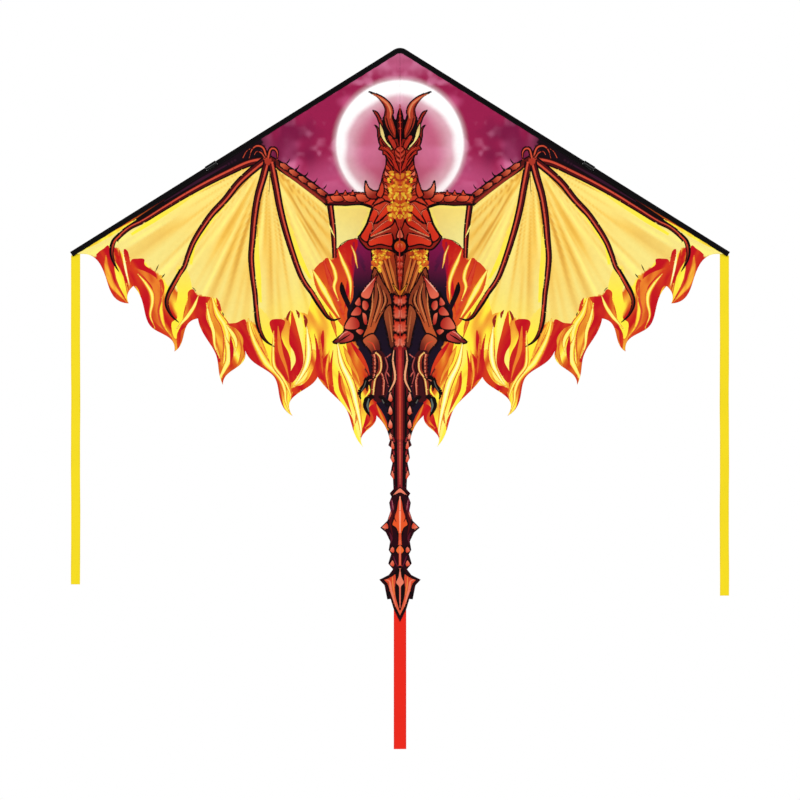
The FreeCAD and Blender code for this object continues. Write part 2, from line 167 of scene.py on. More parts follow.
def curve(points, closed=False):
    """A smooth line through the points."""
    points = np.array(points, float)
    count = len(points)
    if count == 2:
        pieces = max(2, int(np.linalg.norm(points[1] - points[0]) / STEP) + 1)
        share = np.linspace(0, 1, pieces)[:, None]
        return points[0] * (1 - share) + points[1] * share
    result = []
    for index in range(count if closed else count - 1):
        b, c = points[index], points[(index + 1) % count]
        a = points[index - 1] if closed or index > 0 else 2 * b - c
        d = points[(index + 2) % count] if closed or index + 2 < count else 2 * c - b
        pieces = max(2, int(np.linalg.norm(c - b) / STEP) + 1)
        t = np.linspace(0, 1, pieces, endpoint=False)[:, None]
        result.append(0.5 * (2 * b + (c - a) * t + (2 * a - 5 * b + 4 * c - d) * t ** 2
                             + (3 * b - a - 3 * c + d) * t ** 3))
    if not closed:
        result.append(points[-1:])
    return np.concatenate(result)


def square_to(way):
    """Unit vectors square to these directions."""
    way = way / np.maximum(np.linalg.norm(way, axis=1), 1e-6)[:, None]
    return np.stack([-way[:, 1], way[:, 0]], 1)


def round_loop(points):
    """Direction of a closed outline at each of its points."""
    return np.roll(points, -1, 0) - np.roll(points, 1, 0)


def fade(first, second, start, end):
    """A paint that goes from one colour at start to another at end."""
    start, end = np.array(start, float), np.array(end, float)
    way = end - start

    def paint(x, drop):
        along = ((x - start[0]) * way[0] + (drop - start[1]) * way[1]) / (way @ way)
        return mix(first, second, ramp(along, 0, 1))
    return paint


def leaning(x, drop):
    """Distance across the flames, which run down and inwards."""
    return x + 0.36 * (drop - 400)


def streaky(dark, bright, size=12):
    """A paint of soft streaks between two colours, that run as the flames do."""
    def paint(x, drop):
        across = leaning(x, drop) + 6 * np.sin(drop / 24)
        streak = noise(across, drop * 0.2, size, 2) * 0.65 + noise(across, drop * 0.3, size / 2.2, 3) * 0.35
        return mix(dark, bright, ramp(streak, 0.3, 0.7))
    return paint


FLAME_PAINTS = {
    RED: streaky(rgb(190, 12, 28), rgb(208, 58, 24), 16),
    ORANGE: streaky(rgb(206, 76, 26), rgb(230, 126, 40)),
    AMBER: streaky(rgb(226, 134, 38), rgb(248, 186, 58)),
    YELLOW: streaky(rgb(250, 210, 52), rgb(255, 240, 76)),
}


def as_paint(paint):
    """A paint as it is, a flame colour in streaks, or any other colour flat."""
    if callable(paint):
        return paint
    return FLAME_PAINTS.get(paint) or (lambda x, drop: paint * np.ones((len(x), 1)))


def area(points, paint, smooth=True, line=0.0):
    """A filled area, with an ink line of this width round it."""
    outline = curve(points, closed=True) if smooth else np.array(points, float)
    layers.append((outline, as_paint(paint)))
    if line and smooth:
        ring(outline, line)
    elif line:
        for first, last in zip(points, list(points[1:]) + [points[0]]):
            brush([first, last], [line, line], INK)


def ring(outline, width):
    """An ink line along a closed outline."""
    reach = square_to(round_loop(outline)) * width / 2
    count = len(outline)
    for start in range(0, count, RING_RUN):
        run = [(start + k) % count for k in range(min(RING_RUN + 1, count - start + 1))]
        left, right = outline[run] + reach[run], outline[run] - reach[run]
        layers.append((np.concatenate([left, right[::-1]]), as_paint(INK)))


def brush(points, widths, paint, shift=0.0):
    """A stroke whose width goes evenly through the given widths, moved sideways by a share of its width."""
    line = curve(points)
    normal = square_to(np.gradient(line, axis=0))
    length = np.concatenate([[0], np.cumsum(np.linalg.norm(np.diff(line, axis=0), axis=1))])
    width = np.interp(length / length[-1], np.linspace(0, 1, len(widths)), widths)[:, None]
    middle = line + normal * width * shift
    outline = np.concatenate([middle + normal * width / 2, (middle - normal * width / 2)[::-1]])
    layers.append((outline, as_paint(paint)))


def ink(points, width):
    """A line that is thin at both ends."""
    brush(points, [0.3, width, width, 0.3], INK)


def strokes(widths, paint, *lines):
    """The same stroke along each of these lines."""
    for points in lines:
        brush(points, widths, paint)


def mirrored(half):
    """A closed outline from its right half, which starts and ends on the centre line."""
    return half + [(-x, drop) for x, drop in half[-2:0:-1]]


def disc(radius, drop):
    """Outline of a round boss on the centre line."""
    angles = [k * math.pi / 6 for k in range(12)]
    return [(radius * math.sin(angle), drop - radius * math.cos(angle)) for angle in angles]


def bone(points, start, end, side=0.12):
    """A long bone: ink outline, dark underside and a lit stripe."""
    brush(points, [start + 6.8, (start + end) / 2 + 6.8, end + 5.6], INK)
    brush(points, [start, (start + end) / 2 + 0.6, end + 0.8], MAROON)
    brush(points, [start * 0.38, (start + end) * 0.21, end * 0.38], rgb(204, 74, 52), shift=side / 0.3)


def claw(points, width):
    """A hooked black claw with a glint of red inside."""
    brush(points, [width + 5.4, width + 6.4, width + 3.4, 1.6], INK)
    brush(points[:-1], [width * 0.7, width * 0.8, 1.4], fade(EMBER, MAROON, points[0], points[-2]), shift=0.4)


def tongue(points, width, colours):
    """A flame: nested strokes, hot in the middle. Wide yellow ones get an orange rim."""
    shares = (1, 0.66, 0.36, 0.16)
    if width > 5 and colours[0] in HOT:
        colours = (EMBER,) + colours
        shares = (1.34,) + shares
    for share, colour in zip(shares, colours):
        brush(points, [width * share * part for part in (0.12, 0.72, 1.0, 0.82, 0.45, 0.03)], colour)


def blotches(low, high, count, seed, sizes):
    """Sparks of fire scattered in a box."""
    dice = np.random.RandomState(seed)
    for share, colour in ((1.0, ORANGE), (0.8, AMBER), (0.6, YELLOW)):
        for _ in range(count):
            x, drop = dice.uniform(low[0], high[0]), dice.uniform(low[1], high[1])
            size = dice.uniform(*sizes) * share
            turn = dice.uniform(0, math.tau)
            spikes = []
            for k in range(7):
                reach = size * dice.uniform(0.35, 1.0) / 2
                angle = turn + k * math.tau / 7
                spikes.append((max(x + reach * math.cos(angle), -1.0), drop + reach * math.sin(angle)))
            area(spikes, colour)


# ---- The print, bottom layer to top ----

WRIST = (280, 236)
MOON_DROP = 204
MOON_RADIUS = 134
PLATE_SWELL = 1.07  # of the thigh's plates about their middle


def sky(x, drop):
    """Crimson night clouds with a glowing ring of moonlight."""
    cloud = clouds(x, drop, 80, 0)
    colour = mix(CRIMSON, ROSE, ramp(cloud, 0.44, 0.68) * 0.75)
    colour = mix(colour, BLUSH, ramp(clouds(x, drop + 300, 46, 2), 0.56, 0.74) * 0.5)
    colour = mix(colour, PLUM, ramp(clouds(x + 400, drop, 110, 1), 0.5, 0.72) * 0.6)
    colour = mix(colour, BLUSH, ramp(-drop, -70, -8) * (0.15 + 0.7 * noise(x, drop, 26, 2)))
    colour = mix(colour, ROSE, ramp(drop - 0.45 * x, 140, 205) * ramp(-x, -250, -190) * 0.62)
    colour = mix(colour, NIGHT, ramp(x, 250, 312) * 0.95)
    radius = np.hypot(x, drop - MOON_DROP)
    inside_tone = mix(rgb(194, 96, 128), BLUSH, ramp(noise(x, drop, 22, 3), 0.3, 0.95) * 0.45)
    colour = mix(colour, inside_tone, ramp(-radius, -MOON_RADIUS, 12 - MOON_RADIUS))
    above = np.clip((MOON_DROP - drop) / MOON_RADIUS, -0.4, 1)
    wisps = 8 * (noise(x, drop, 30, 2) - 0.5) - 16 * above
    glow = ramp(-radius, -14 - MOON_RADIUS, -MOON_RADIUS) * 0.35
    glow += ramp(-radius, -4 - MOON_RADIUS, 1 - MOON_RADIUS) * 0.65
    haze = 0.36 * ramp(radius, 72 + wisps, 118 + wisps) + 0.64 * ramp(radius, 108 + wisps, 125 + wisps)
    return mix(colour, MOON, glow * haze)


def membrane(x, drop):
    """The wing's skin: gold streaks that fan out from the wrist and pale towards the trailing edge."""
    angle = np.degrees(np.arctan2(drop - WRIST[1], x - WRIST[0])) * 10
    reach = np.hypot(x - WRIST[0], drop - WRIST[1])
    streak = noise(angle, reach * 0.1, 15, 1) * 0.55 + noise(angle, reach * 0.08, 40, 2) * 0.45
    far = ramp(reach, 170, 330)
    colour = mix(SKIN, rgb(240, 225, 134), far * 0.7)
    colour = mix(colour, GOLD, ramp(streak, 0.38, 0.7) * (0.95 - 0.5 * far))
    colour = mix(colour, rgb(208, 148, 54), ramp(streak, 0.6, 0.82) * (0.85 - 0.6 * far))
    colour = mix(colour, PALE, ramp(-streak, -0.38, -0.18) * 0.8)
    return mix(colour, YELLOW, ramp(drop - 0.62 * x, 330, 470) * 0.5)


def fire(x, drop, heat=0.0):
    """Licking flames: long streaks of red, orange, peach and yellow."""
    across = leaning(x, drop) + 9 * np.sin(drop / 24 + x / 70)
    streak = noise(across, drop * 0.16, 13, 1) * 0.7 + noise(across, drop * 0.2, 31, 3) * 0.3 + heat
    colour = mix(RED, ORANGE, ramp(streak, 0.26, 0.42))
    colour = mix(colour, AMBER, ramp(streak, 0.42, 0.55))
    colour = mix(colour, YELLOW, ramp(streak, 0.52, 0.66))
    return mix(colour, PALE, ramp(streak, 0.72, 0.9) * 0.7)


def blaze(x, drop):
    """The hottest flames, mostly yellow."""
    return fire(x, drop, 0.28)


def draw_wing_ground():
    top = [(284, 232), (322, 245), (366, 264), (410, 286), (455, 311), (499, 338), (544, 366), (600, 390),
        (720, 440)]
    area(top + [(720, 900), (0, 900), (0, 440), (60, 420), (92, 405), (137, 428), (140, 395), (146, 335),
        (166, 308), (200, 280), (250, 250)], membrane, smooth=False)
    # panel of skin between the body and the elbow
    area([(150, 332), (44, 332), (44, 412), (94, 404), (109, 409), (121, 416), (138, 430), (140, 402),
        (146, 350)], fade(rgb(246, 224, 120), rgb(240, 228, 140), (100, 340), (110, 410)), smooth=False,
        line=1.8)
    brush([(64, 338), (72, 366), (90, 398)], [6, 8, 5], rgb(250, 236, 112))
    brush([(142, 340), (100, 337), (66, 338)], [5, 4, 6], rgb(250, 236, 112))
    # night between the leading edge and the first finger
    area([(306, 180), (640, 392), (600, 380), (560, 372), (520, 352), (455, 312), (366, 265), (318, 247),
        (296, 236), (290, 200)], fade(NIGHT, INK, (330, 220), (480, 300)), smooth=False)
    brush([(345, 236), (420, 278), (500, 326)], [1.5, 6, 1.5], rgb(52, 16, 38))
    # glow under the leading edge near the tip
    brush([(500, 322), (560, 358), (620, 396), (672, 426)], [1.5, 7, 9, 2], fade(MAROON, ORANGE, (500, 320),
        (600, 384)))
    brush([(560, 364), (610, 394), (650, 416), (684, 434)], [1.5, 6, 7, 3], YELLOW)


def draw_inner_gap():
    """Dusk between the thigh, the flames and the inner membrane."""
    area([(96, 404), (78, 412), (62, 428), (-4, 430), (-4, 840), (22, 836), (40, 800), (50, 752), (70, 690),
        (92, 630), (118, 600), (114, 560), (106, 500), (103, 450)], fade(rgb(132, 20, 76), rgb(24, 12, 30),
        (90, 402), (84, 526)), smooth=False)
    brush([(94, 420), (84, 446), (74, 474)], [3, 12, 3], fade(rgb(112, 22, 74), rgb(70, 16, 52), (90, 420),
        (76, 474)))


def draw_flames():
    # the whole burning rim, below the skin's ragged lower edge
    area([(684, 440), (643, 443), (630, 430), (618, 420), (600, 424), (591, 434), (582, 446), (571, 454),
        (555, 448), (543, 455), (527, 470), (507, 482), (499, 493), (492, 508), (484, 498), (470, 520),
        (456, 530), (444, 514), (428, 524), (410, 527), (388, 532), (377, 560), (363, 586), (333, 580),
        (311, 582), (299, 594), (277, 581), (249, 583), (236, 562), (222, 572), (205, 562), (197, 584),
        (190, 560), (186, 538), (188, 482), (166, 460), (144, 448), (133, 427), (112, 414), (92, 406),
        (100, 450), (104, 500), (112, 556), (118, 600), (92, 630), (70, 690), (50, 752), (40, 800),
        (22, 836), (20, 900), (760, 900), (760, 440)], fire, smooth=False)
    for points in ([(236, 560), (205, 562), (196, 566), (160, 576), (128, 580), (112, 640), (100, 700),
            (84, 770), (78, 850), (96, 800), (112, 772), (146, 712), (150, 650), (166, 660), (186, 640),
            (200, 700), (226, 730), (232, 690), (232, 600)], [(190, 470), (186, 520), (196, 580),
            (160, 590), (128, 590), (146, 540), (168, 506)]):
        area(points, blaze)
    # wing tip
    area([(644, 443), (640, 434), (629, 426), (618, 420), (611, 450), (606, 464), (598, 480), (594, 503),
        (590, 524), (574, 544), (600, 540), (616, 522), (626, 498), (630, 472)], RED)
    tongue([(624, 440), (622, 470), (612, 500), (597, 520), (580, 540)], 15, (ORANGE, AMBER))
    tongue([(606, 452), (597, 480), (589, 505), (581, 528), (577, 541)], 15, (YELLOW,))
    tongue([(595, 428), (591, 457), (582, 490), (574, 520)], 8, (RED,))
    area([(586, 428), (578, 431), (574, 446), (571, 468), (566, 503), (572, 500), (578, 479), (584, 455)],
        RED)
    tongue([(588, 434), (582, 470), (574, 505)], 5, (PALE, WHITE_HOT))
    # second flame
    area([(572, 468), (570, 450), (558, 447), (543, 448), (541, 461), (519, 477), (515, 494), (505, 491),
        (500, 512), (509, 541), (511, 567), (502, 589), (485, 615), (478, 645), (489, 626), (508, 614),
        (531, 602), (545, 578), (552, 545), (553, 520), (561, 505), (570, 504)], RED)
    tongue([(561, 468), (533, 486), (515, 509), (518, 541), (517, 572), (498, 598), (484, 616)], 22,
        (ORANGE, ORANGE))
    tongue([(557, 479), (541, 498), (528, 520), (526, 541), (530, 568), (520, 594)], 9,
        (AMBER, YELLOW, PALE))
    tongue([(505, 525), (507, 560), (500, 590), (486, 612)], 8, (AMBER, YELLOW))
    tongue([(510, 486), (507, 528), (513, 560), (505, 590), (489, 612)], 5, (EMBER,))
    # between the second finger's claw and the third flame
    area([(473, 464), (454, 467), (442, 510), (454, 541), (460, 566), (465, 590), (474, 616), (482, 609),
        (485, 584), (473, 572), (476, 547), (472, 520), (476, 492)], fade(rgb(248, 222, 92), YELLOW,
        (460, 470), (460, 540)))
    area([(450, 518), (439, 512), (429, 526), (402, 529), (409, 542), (411, 572), (400, 602), (392, 637),
        (380, 664), (392, 664), (410, 640), (419, 612), (421, 587), (429, 571), (437, 585), (455, 593),
        (465, 602), (466, 624), (472, 640), (474, 610), (466, 591), (457, 576), (452, 554), (450, 537)],
        RED)
    tongue([(447, 519), (449, 545), (457, 570), (464, 590)], 8, (ORANGE,))
    tongue([(428, 526), (437, 548), (450, 568), (464, 584), (478, 600)], 7.5, (YELLOW, PALE))
    # third flame
    tongue([(402, 530), (396, 572), (385, 602), (381, 634), (378, 668)], 26, (ORANGE, AMBER))
    tongue([(411, 541), (405, 572), (396, 602), (393, 632), (382, 660)], 7, (YELLOW, PALE))
    tongue([(399, 528), (388, 563), (371, 591), (366, 624), (370, 652), (378, 700)], 15,
        (YELLOW, YELLOW, PALE))
    area([(390, 530), (383, 541), (379, 559), (387, 551)], RED)
    tongue([(371, 586), (355, 608), (348, 627), (351, 652)], 8, (YELLOW, PALE))
    tongue([(372, 610), (364, 640), (364, 662), (373, 682), (381, 700), (377, 714)], 12, (YELLOW, PALE))
    tongue([(360, 612), (357, 645), (361, 676)], 9, (RED,))
    tongue([(350, 594), (336, 615), (333, 641), (341, 668), (352, 686)], 12, (ORANGE, AMBER))
    # third finger's valley
    area([(368, 585), (348, 583), (329, 576), (324, 597), (312, 629), (291, 661), (276, 685), (259, 705),
        (253, 734), (246, 762), (232, 782), (248, 774), (258, 757), (263, 729), (270, 712), (290, 692),
        (306, 679), (324, 660), (333, 638), (334, 615), (348, 596), (364, 588)], RED)
    tongue([(322, 574), (315, 607), (303, 636), (286, 666), (266, 686), (252, 705), (244, 729), (242, 751),
        (230, 782)], 14, (AMBER, YELLOW, PALE))
    tongue([(317, 578), (303, 607), (291, 636), (280, 662)], 8, (ORANGE, AMBER))
    # fourth flame: two islands of red in yellow
    area([(298, 551), (273, 584), (268, 615), (264, 637), (268, 658), (262, 688), (273, 674), (282, 646),
        (291, 624), (298, 600), (301, 575)], fade(rgb(248, 222, 92), YELLOW, (290, 560), (280, 620)))
    area([(277, 583), (264, 575), (244, 580), (252, 607), (247, 627), (237, 646), (232, 666), (232, 690),
        (235, 711), (247, 698), (262, 673), (267, 641), (269, 612)], RED)
    tongue([(259, 590), (254, 641), (242, 678), (235, 706)], 9, (ORANGE,))
    area([(230, 558), (222, 580), (215, 607), (208, 636), (205, 666), (213, 690), (230, 711), (233, 690),
        (222, 666), (225, 646), (235, 627), (235, 602), (232, 583)], RED)
    for points in ([(242, 573), (237, 561), (232, 558), (238, 578)], [(221, 556), (213, 563), (215, 574)],
            [(205, 566), (196, 578), (201, 593)]):
        area(points, RUST)
    tongue([(268, 600), (269, 652), (266, 676), (252, 696), (240, 716), (232, 740), (233, 770)], 7,
        (AMBER, YELLOW, PALE))
    tongue([(198, 590), (194, 640), (198, 672), (212, 700), (228, 722)], 12, (YELLOW, PALE, WHITE_HOT))
    tongue([(186, 676), (200, 704), (222, 720), (234, 744)], 4, (AMBER,))
    # valley to the fifth flame
    area([(182, 607), (176, 622), (171, 641), (167, 607), (162, 600), (161, 627), (164, 656), (159, 685),
        (152, 712), (174, 701), (186, 714), (206, 727), (227, 737), (232, 752), (228, 784), (226, 740),
        (229, 722), (204, 712), (188, 690), (179, 661), (179, 632)], RED)
    tongue([(169, 617), (167, 656), (164, 694)], 6, (ORANGE,))
    # fifth flame
    for points, width in (([(156, 702), (149, 738), (133, 761), (114, 773), (102, 792), (99, 818),
            (92, 836)], 9), ([(142, 641), (147, 678), (145, 714), (137, 746), (120, 763), (103, 782)], 8),
            ([(130, 685), (125, 719), (113, 751), (102, 778)], 11), ([(106, 622), (86, 651), (72, 675),
            (64, 696)], 11)):
        tongue(points, width, (RED,))
    tongue([(150, 640), (156, 690), (150, 730)], 6, (ORANGE, AMBER))
    tongue([(126, 690), (120, 722), (108, 756)], 6, (ORANGE,))
    tongue([(120, 632), (106, 666), (93, 690), (85, 712)], 12, (ORANGE, AMBER))
    tongue([(94, 712), (88, 751), (93, 787), (97, 802)], 8, (AMBER,))
    tongue([(134, 620), (124, 668), (104, 712), (92, 760), (84, 800), (80, 846)], 13,
        (YELLOW, PALE, WHITE_HOT))
    area([(66, 763), (52, 757), (48, 782), (58, 797), (72, 812), (77, 824), (76, 850), (83, 826),
        (75, 792)], RED)
    tongue([(64, 768), (60, 790), (74, 806)], 7, (ORANGE,))
    tongue([(50, 756), (38, 785), (26, 809), (20, 824)], 12, (RED, ORANGE, AMBER))
    # high flames between the third finger and the thigh
    area([(163, 452), (156, 445), (142, 450), (136, 430), (123, 418), (108, 408), (92, 406), (90, 420),
        (99, 450), (99, 500), (100, 530), (112, 560), (112, 590), (124, 588), (140, 566), (160, 540),
        (178, 510), (184, 476), (172, 458)], fade(RED, rgb(216, 82, 27), (120, 410), (150, 520)))
    brush([(98, 412), (99, 450), (101, 496)], [4, 8, 3], rgb(158, 16, 46))
    tongue([(120, 416), (112, 448), (106, 478), (112, 520), (118, 560)], 12, (RED,))
    tongue([(162, 450), (152, 482), (142, 512), (126, 552), (112, 586)], 13, (RED, EMBER))
    tongue([(186, 470), (166, 505), (146, 542), (126, 576)], 17, (ORANGE, YELLOW, PALE))
    tongue([(153, 442), (141, 467), (136, 488), (140, 508), (130, 536)], 9, (AMBER, YELLOW, PALE))
    tongue([(131, 428), (123, 450), (112, 475), (105, 500), (106, 538)], 10, (AMBER, YELLOW, PALE))
    tongue([(104, 418), (96, 438), (93, 454), (89, 470)], 6.5, (ORANGE, AMBER, PALE))
    area([(125, 497), (120, 502), (113, 524), (105, 544), (108, 557), (118, 539), (128, 514)], fade(INK,
        NIGHT, (125, 500), (108, 550)))
    tongue([(150, 560), (140, 590), (134, 616)], 9, (RED, ORANGE))
    ink([(136, 429), (122, 414), (107, 407), (92, 404)], 1.8)
    # scorched nicks along the membrane's lower edge
    strokes([0.6, 2.6, 1.0], INK, [(512, 459), (519, 474)], [(499, 479), (506, 488)], [(440, 508),
            (433, 516)], [(378, 560), (374, 568)])


def draw_wing_bones():
    # bright skin beside the bones
    for points in ([(300, 262), (344, 298), (371, 332), (399, 362), (421, 393), (438, 421), (444, 460)],
            [(296, 290), (302, 330), (302, 380), (304, 430), (300, 490), (296, 540)], [(258, 296),
            (244, 350), (228, 400), (212, 446), (190, 490)], [(330, 256), (380, 280), (430, 306),
            (480, 338), (530, 370), (570, 396)]):
        brush(points, [1.2, 4, 7, 10, 11, 5], fade(rgb(250, 220, 96), YELLOW, points[0], points[-1]))
    strokes([1.2, 4, 1.2], rgb(200, 138, 48), [(285, 262), (294, 300), (300, 350), (303, 400)], [(268, 270),
            (256, 330), (238, 384)], [(312, 268), (352, 310), (388, 352)])
    forearm = [(277, 234), (250, 253), (222, 271), (194, 291), (166, 313), (150, 328)]
    brush(forearm, [14, 20, 22, 23, 23, 20], INK)
    brush(forearm, [8, 13, 15, 16, 16, 14], rgb(84, 16, 14))
    brush([(262, 250), (240, 267), (212, 287), (184, 308), (160, 327)], [2, 5, 6, 6, 4], rgb(138, 40, 30))
    for k in range(6):
        across = 256 - 19.5 * k
        drop = 243 + 13.6 * k
        brush([(across - 15, drop + 2), (across - 20, drop - 3), (across - 22, drop - 8)], [4, 2.6, 0.8],
            INK)
        area([(across, drop), (across - 11, drop + 1), (across - 25, drop + 12), (across - 20, drop + 19),
            (across - 9, drop + 15), (across - 1, drop + 8)], fade(rgb(214, 98, 66), rgb(140, 34, 24),
            (across, drop), (across - 22, drop + 16)), smooth=False, line=2.6)
    bone([(283, 236), (322, 244), (366, 264), (410, 286), (455, 311), (499, 338), (544, 366), (572, 380),
        (592, 396), (603, 408)], 12, 5, side=-0.12)
    claw([(594, 396), (608, 412), (612, 436), (606, 458), (597, 474)], 4.6)
    bone([(286, 238), (316, 262), (344, 288), (371, 322), (399, 352), (421, 383), (438, 411), (449, 438),
        (458, 464), (470, 482)], 10.6, 5)
    claw([(464, 472), (480, 500), (493, 526), (495, 546), (485, 568), (470, 582)], 5.4)
    bone([(281, 240), (291, 277), (302, 316), (309, 360), (313, 405), (316, 444), (313, 482), (308, 521),
        (305, 560)], 10.4, 5)
    claw([(306, 546), (302, 582), (294, 608), (282, 624), (266, 634)], 5.2)
    bone([(273, 242), (263, 294), (255, 338), (244, 383), (227, 438), (208, 488), (184, 524)], 10.4, 5.6)
    claw([(192, 512), (168, 550), (154, 570), (142, 577), (126, 574)], 5.6)
    brush([(276, 262), (277, 300), (279, 312)], [2.4, 1.6, 0.4], rgb(120, 90, 20))
    area([(286, 232), (280, 229), (274, 233), (273, 243), (280, 249), (287, 243)], rgb(168, 52, 36))
    # elbow bone down to the flames
    bone([(150, 322), (146, 350), (141, 394), (139, 446)], 8, 4)
    tongue([(152, 372), (146, 386), (138, 402)], 3.4, (PALE,))
    # upper arm
    brush([(158, 322), (116, 321), (80, 320), (40, 330)], [24, 29, 29, 34], INK)
    brush([(154, 322), (116, 320), (80, 318), (42, 328)], [14, 20, 20, 24], fade(rgb(196, 60, 38),
        rgb(206, 54, 32), (150, 300), (60, 330)))
    brush([(150, 329), (116, 329), (84, 328)], [3, 7, 4], MAROON)
    for points in ([(148, 314), (132, 312), (116, 318), (124, 326), (142, 325)], [(122, 313), (106, 311),
            (90, 319), (98, 327), (114, 325)], [(94, 311), (78, 310), (62, 318), (72, 327), (88, 325)]):
        area(points, fade(rgb(222, 90, 56), rgb(160, 42, 26), points[1], points[-2]), line=2.4)
    for x in (134, 116, 100):
        area([(x + 6, 313), (x, 301), (x - 5, 312)], EMBER, smooth=False, line=2.2)
    # thumb claws over the wrist
    for points, width in (([(333, 233), (326, 220), (318, 214)], 2.2), ([(283, 234), (290, 213), (303, 208),
            (314, 216), (320, 234)], 5.0), ([(287, 233), (294, 223), (304, 220), (309, 227)], 3.4),
            ([(280, 234), (275, 216), (266, 214), (260, 223), (261, 240)], 5.0)):
        brush(points, [width + 5, width + 4.8, 2.6], INK)
        brush(points, [width + 0.6, width, 0.8], MAROON)
        brush(points, [width * 0.6, width * 0.56, 0.5], rgb(206, 78, 52))


def draw_head():
    # dark crown behind the horns
    area([(36, 146), (42, 168), (46, 190), (42, 208), (34, 224), (26, 240), (-3, 250), (-3, 150), (10, 152),
        (15, 140), (26, 142)], INK)
    # small horns at the side
    area([(57, 133), (48, 137), (42, 147), (36, 160), (38, 172), (45, 158), (49, 147)], RUST, line=3.0)
    area([(53, 164), (48, 174), (47, 190), (42, 206), (37, 200), (40, 184), (44, 172)], rgb(120, 30, 24),
        line=3.0)
    # great horns
    area([(66, 93), (51, 102), (40, 113), (32, 127), (32, 139), (34, 150), (31, 164), (25, 176), (17, 188),
        (9, 192), (8, 174), (12, 160), (16, 147), (14, 136), (17, 124), (26, 112), (42, 101)],
        fade(rgb(196, 72, 46), rgb(150, 44, 28), (40, 100), (15, 190)), line=3.2)
    brush([(58, 98), (40, 108), (26, 120), (20, 136), (21, 150)], [1.2, 2.4, 3.6, 4, 1.4],
        rgb(214, 128, 84))
    brush([(50, 102), (36, 116), (29, 130), (30, 146), (27, 162)], [1.2, 2.2, 3.2, 3.4, 1.4],
        rgb(110, 26, 18))
    brush([(20, 154), (16, 168), (11, 184)], [1.4, 3.6, 1.4], EMBER)
    brush([(28, 150), (24, 168), (14, 186)], [1.4, 3.0, 1.4], INK)
    # brow, cheek and jaw
    area([(45, 198), (42, 208), (45, 215), (37, 218), (36, 226), (30, 228), (25, 240), (16, 252), (-3, 262),
        (-3, 196), (8, 192), (20, 194), (34, 190), (40, 186)], fade(RUST, rgb(196, 50, 34), (0, 196),
        (0, 246)), line=3.2)
    strokes([1.4, 3.4, 1.4], INK, [(40, 206), (28, 214), (18, 222), (8, 234)], [(35, 216), (25, 224),
            (15, 238)], [(28, 230), (20, 238), (12, 252)], [(40, 196), (34, 206), (26, 210)])
    brush([(34, 211), (24, 218), (14, 228)], [1.2, 2.6, 1.2], EMBER)
    # pale ridge over the slit of an eye
    area([(43, 159), (43, 176), (40, 188), (32, 201), (22, 212), (16, 218), (20, 207), (27, 196), (32, 185),
        (36, 172)], fade(rgb(226, 196, 120), rgb(255, 244, 150), (42, 165), (28, 200)), line=2.2)
    brush([(33, 187), (27, 198), (19, 209)], [1.2, 3.8, 1.2], INK)
    area([(27, 189), (19, 186), (7, 206), (11, 217), (17, 209)], rgb(190, 54, 38), line=2.6)
    # crest over a dark notch
    area([(9, 174), (6, 190), (0, 214), (-4, 202), (-4, 174)], INK)
    area([(0, 129), (5, 142), (7, 160), (6, 178), (0, 190), (-3, 178), (-3, 140)], MAROON, line=3.0)
    for drop in (145, 158, 171):
        area([(4.5, drop), (0, drop - 6), (-5, drop), (0, drop + 5)], EMBER, smooth=False, line=1.8)
    # snout with its chevrons
    area([(8, 212), (12, 223), (9, 238), (4, 251), (0, 262), (-4, 251), (-4, 212)], fade(rgb(204, 66, 44),
        RUST, (0, 212), (0, 258)), line=2.4)
    for drop in (221, 232, 243):
        brush([(11, drop - 8), (6, drop - 1), (-1, drop + 4)], [1.0, 2.2, 2.2], INK)
        brush([(7, drop - 8), (3, drop - 4), (-1, drop - 1)], [0.8, 2.4, 2.4], rgb(224, 104, 74))


def draw_neck():
    area([(27, 232), (30, 250), (36, 268), (40, 290), (42, 312), (60, 338), (40, 360), (-2, 370), (-2, 250),
        (12, 246)], fade(rgb(150, 36, 26), EMBER, (20, 240), (30, 320)), line=3.4)
    for k in range(5):
        drop = 248 + 13 * k
        area([(30 + k * 2.2, drop), (24 + k * 2, drop + 4), (20 + k, drop + 12), (30 + k * 2.4, drop + 10)],
            CORAL if k % 2 else EMBER, line=2.0)
    strokes([1.4, 4, 1.4], INK, [(18, 250), (14, 262), (20, 276)], [(26, 270), (20, 286), (28, 300)],
            [(34, 296), (24, 306), (20, 318)], [(40, 316), (30, 326), (24, 340)], [(14, 276), (10, 300),
            (14, 330)])
    # shoulder horn and the spur at the neck's foot
    area([(73, 282), (75, 296), (74, 306), (68, 318), (50, 320), (44, 304), (56, 303), (66, 296)],
        fade(CORAL, RUST, (72, 290), (55, 316)), line=3.2)
    area([(39, 284), (45, 300), (50, 312), (40, 318), (34, 306), (34, 292)], EMBER, line=3.0)


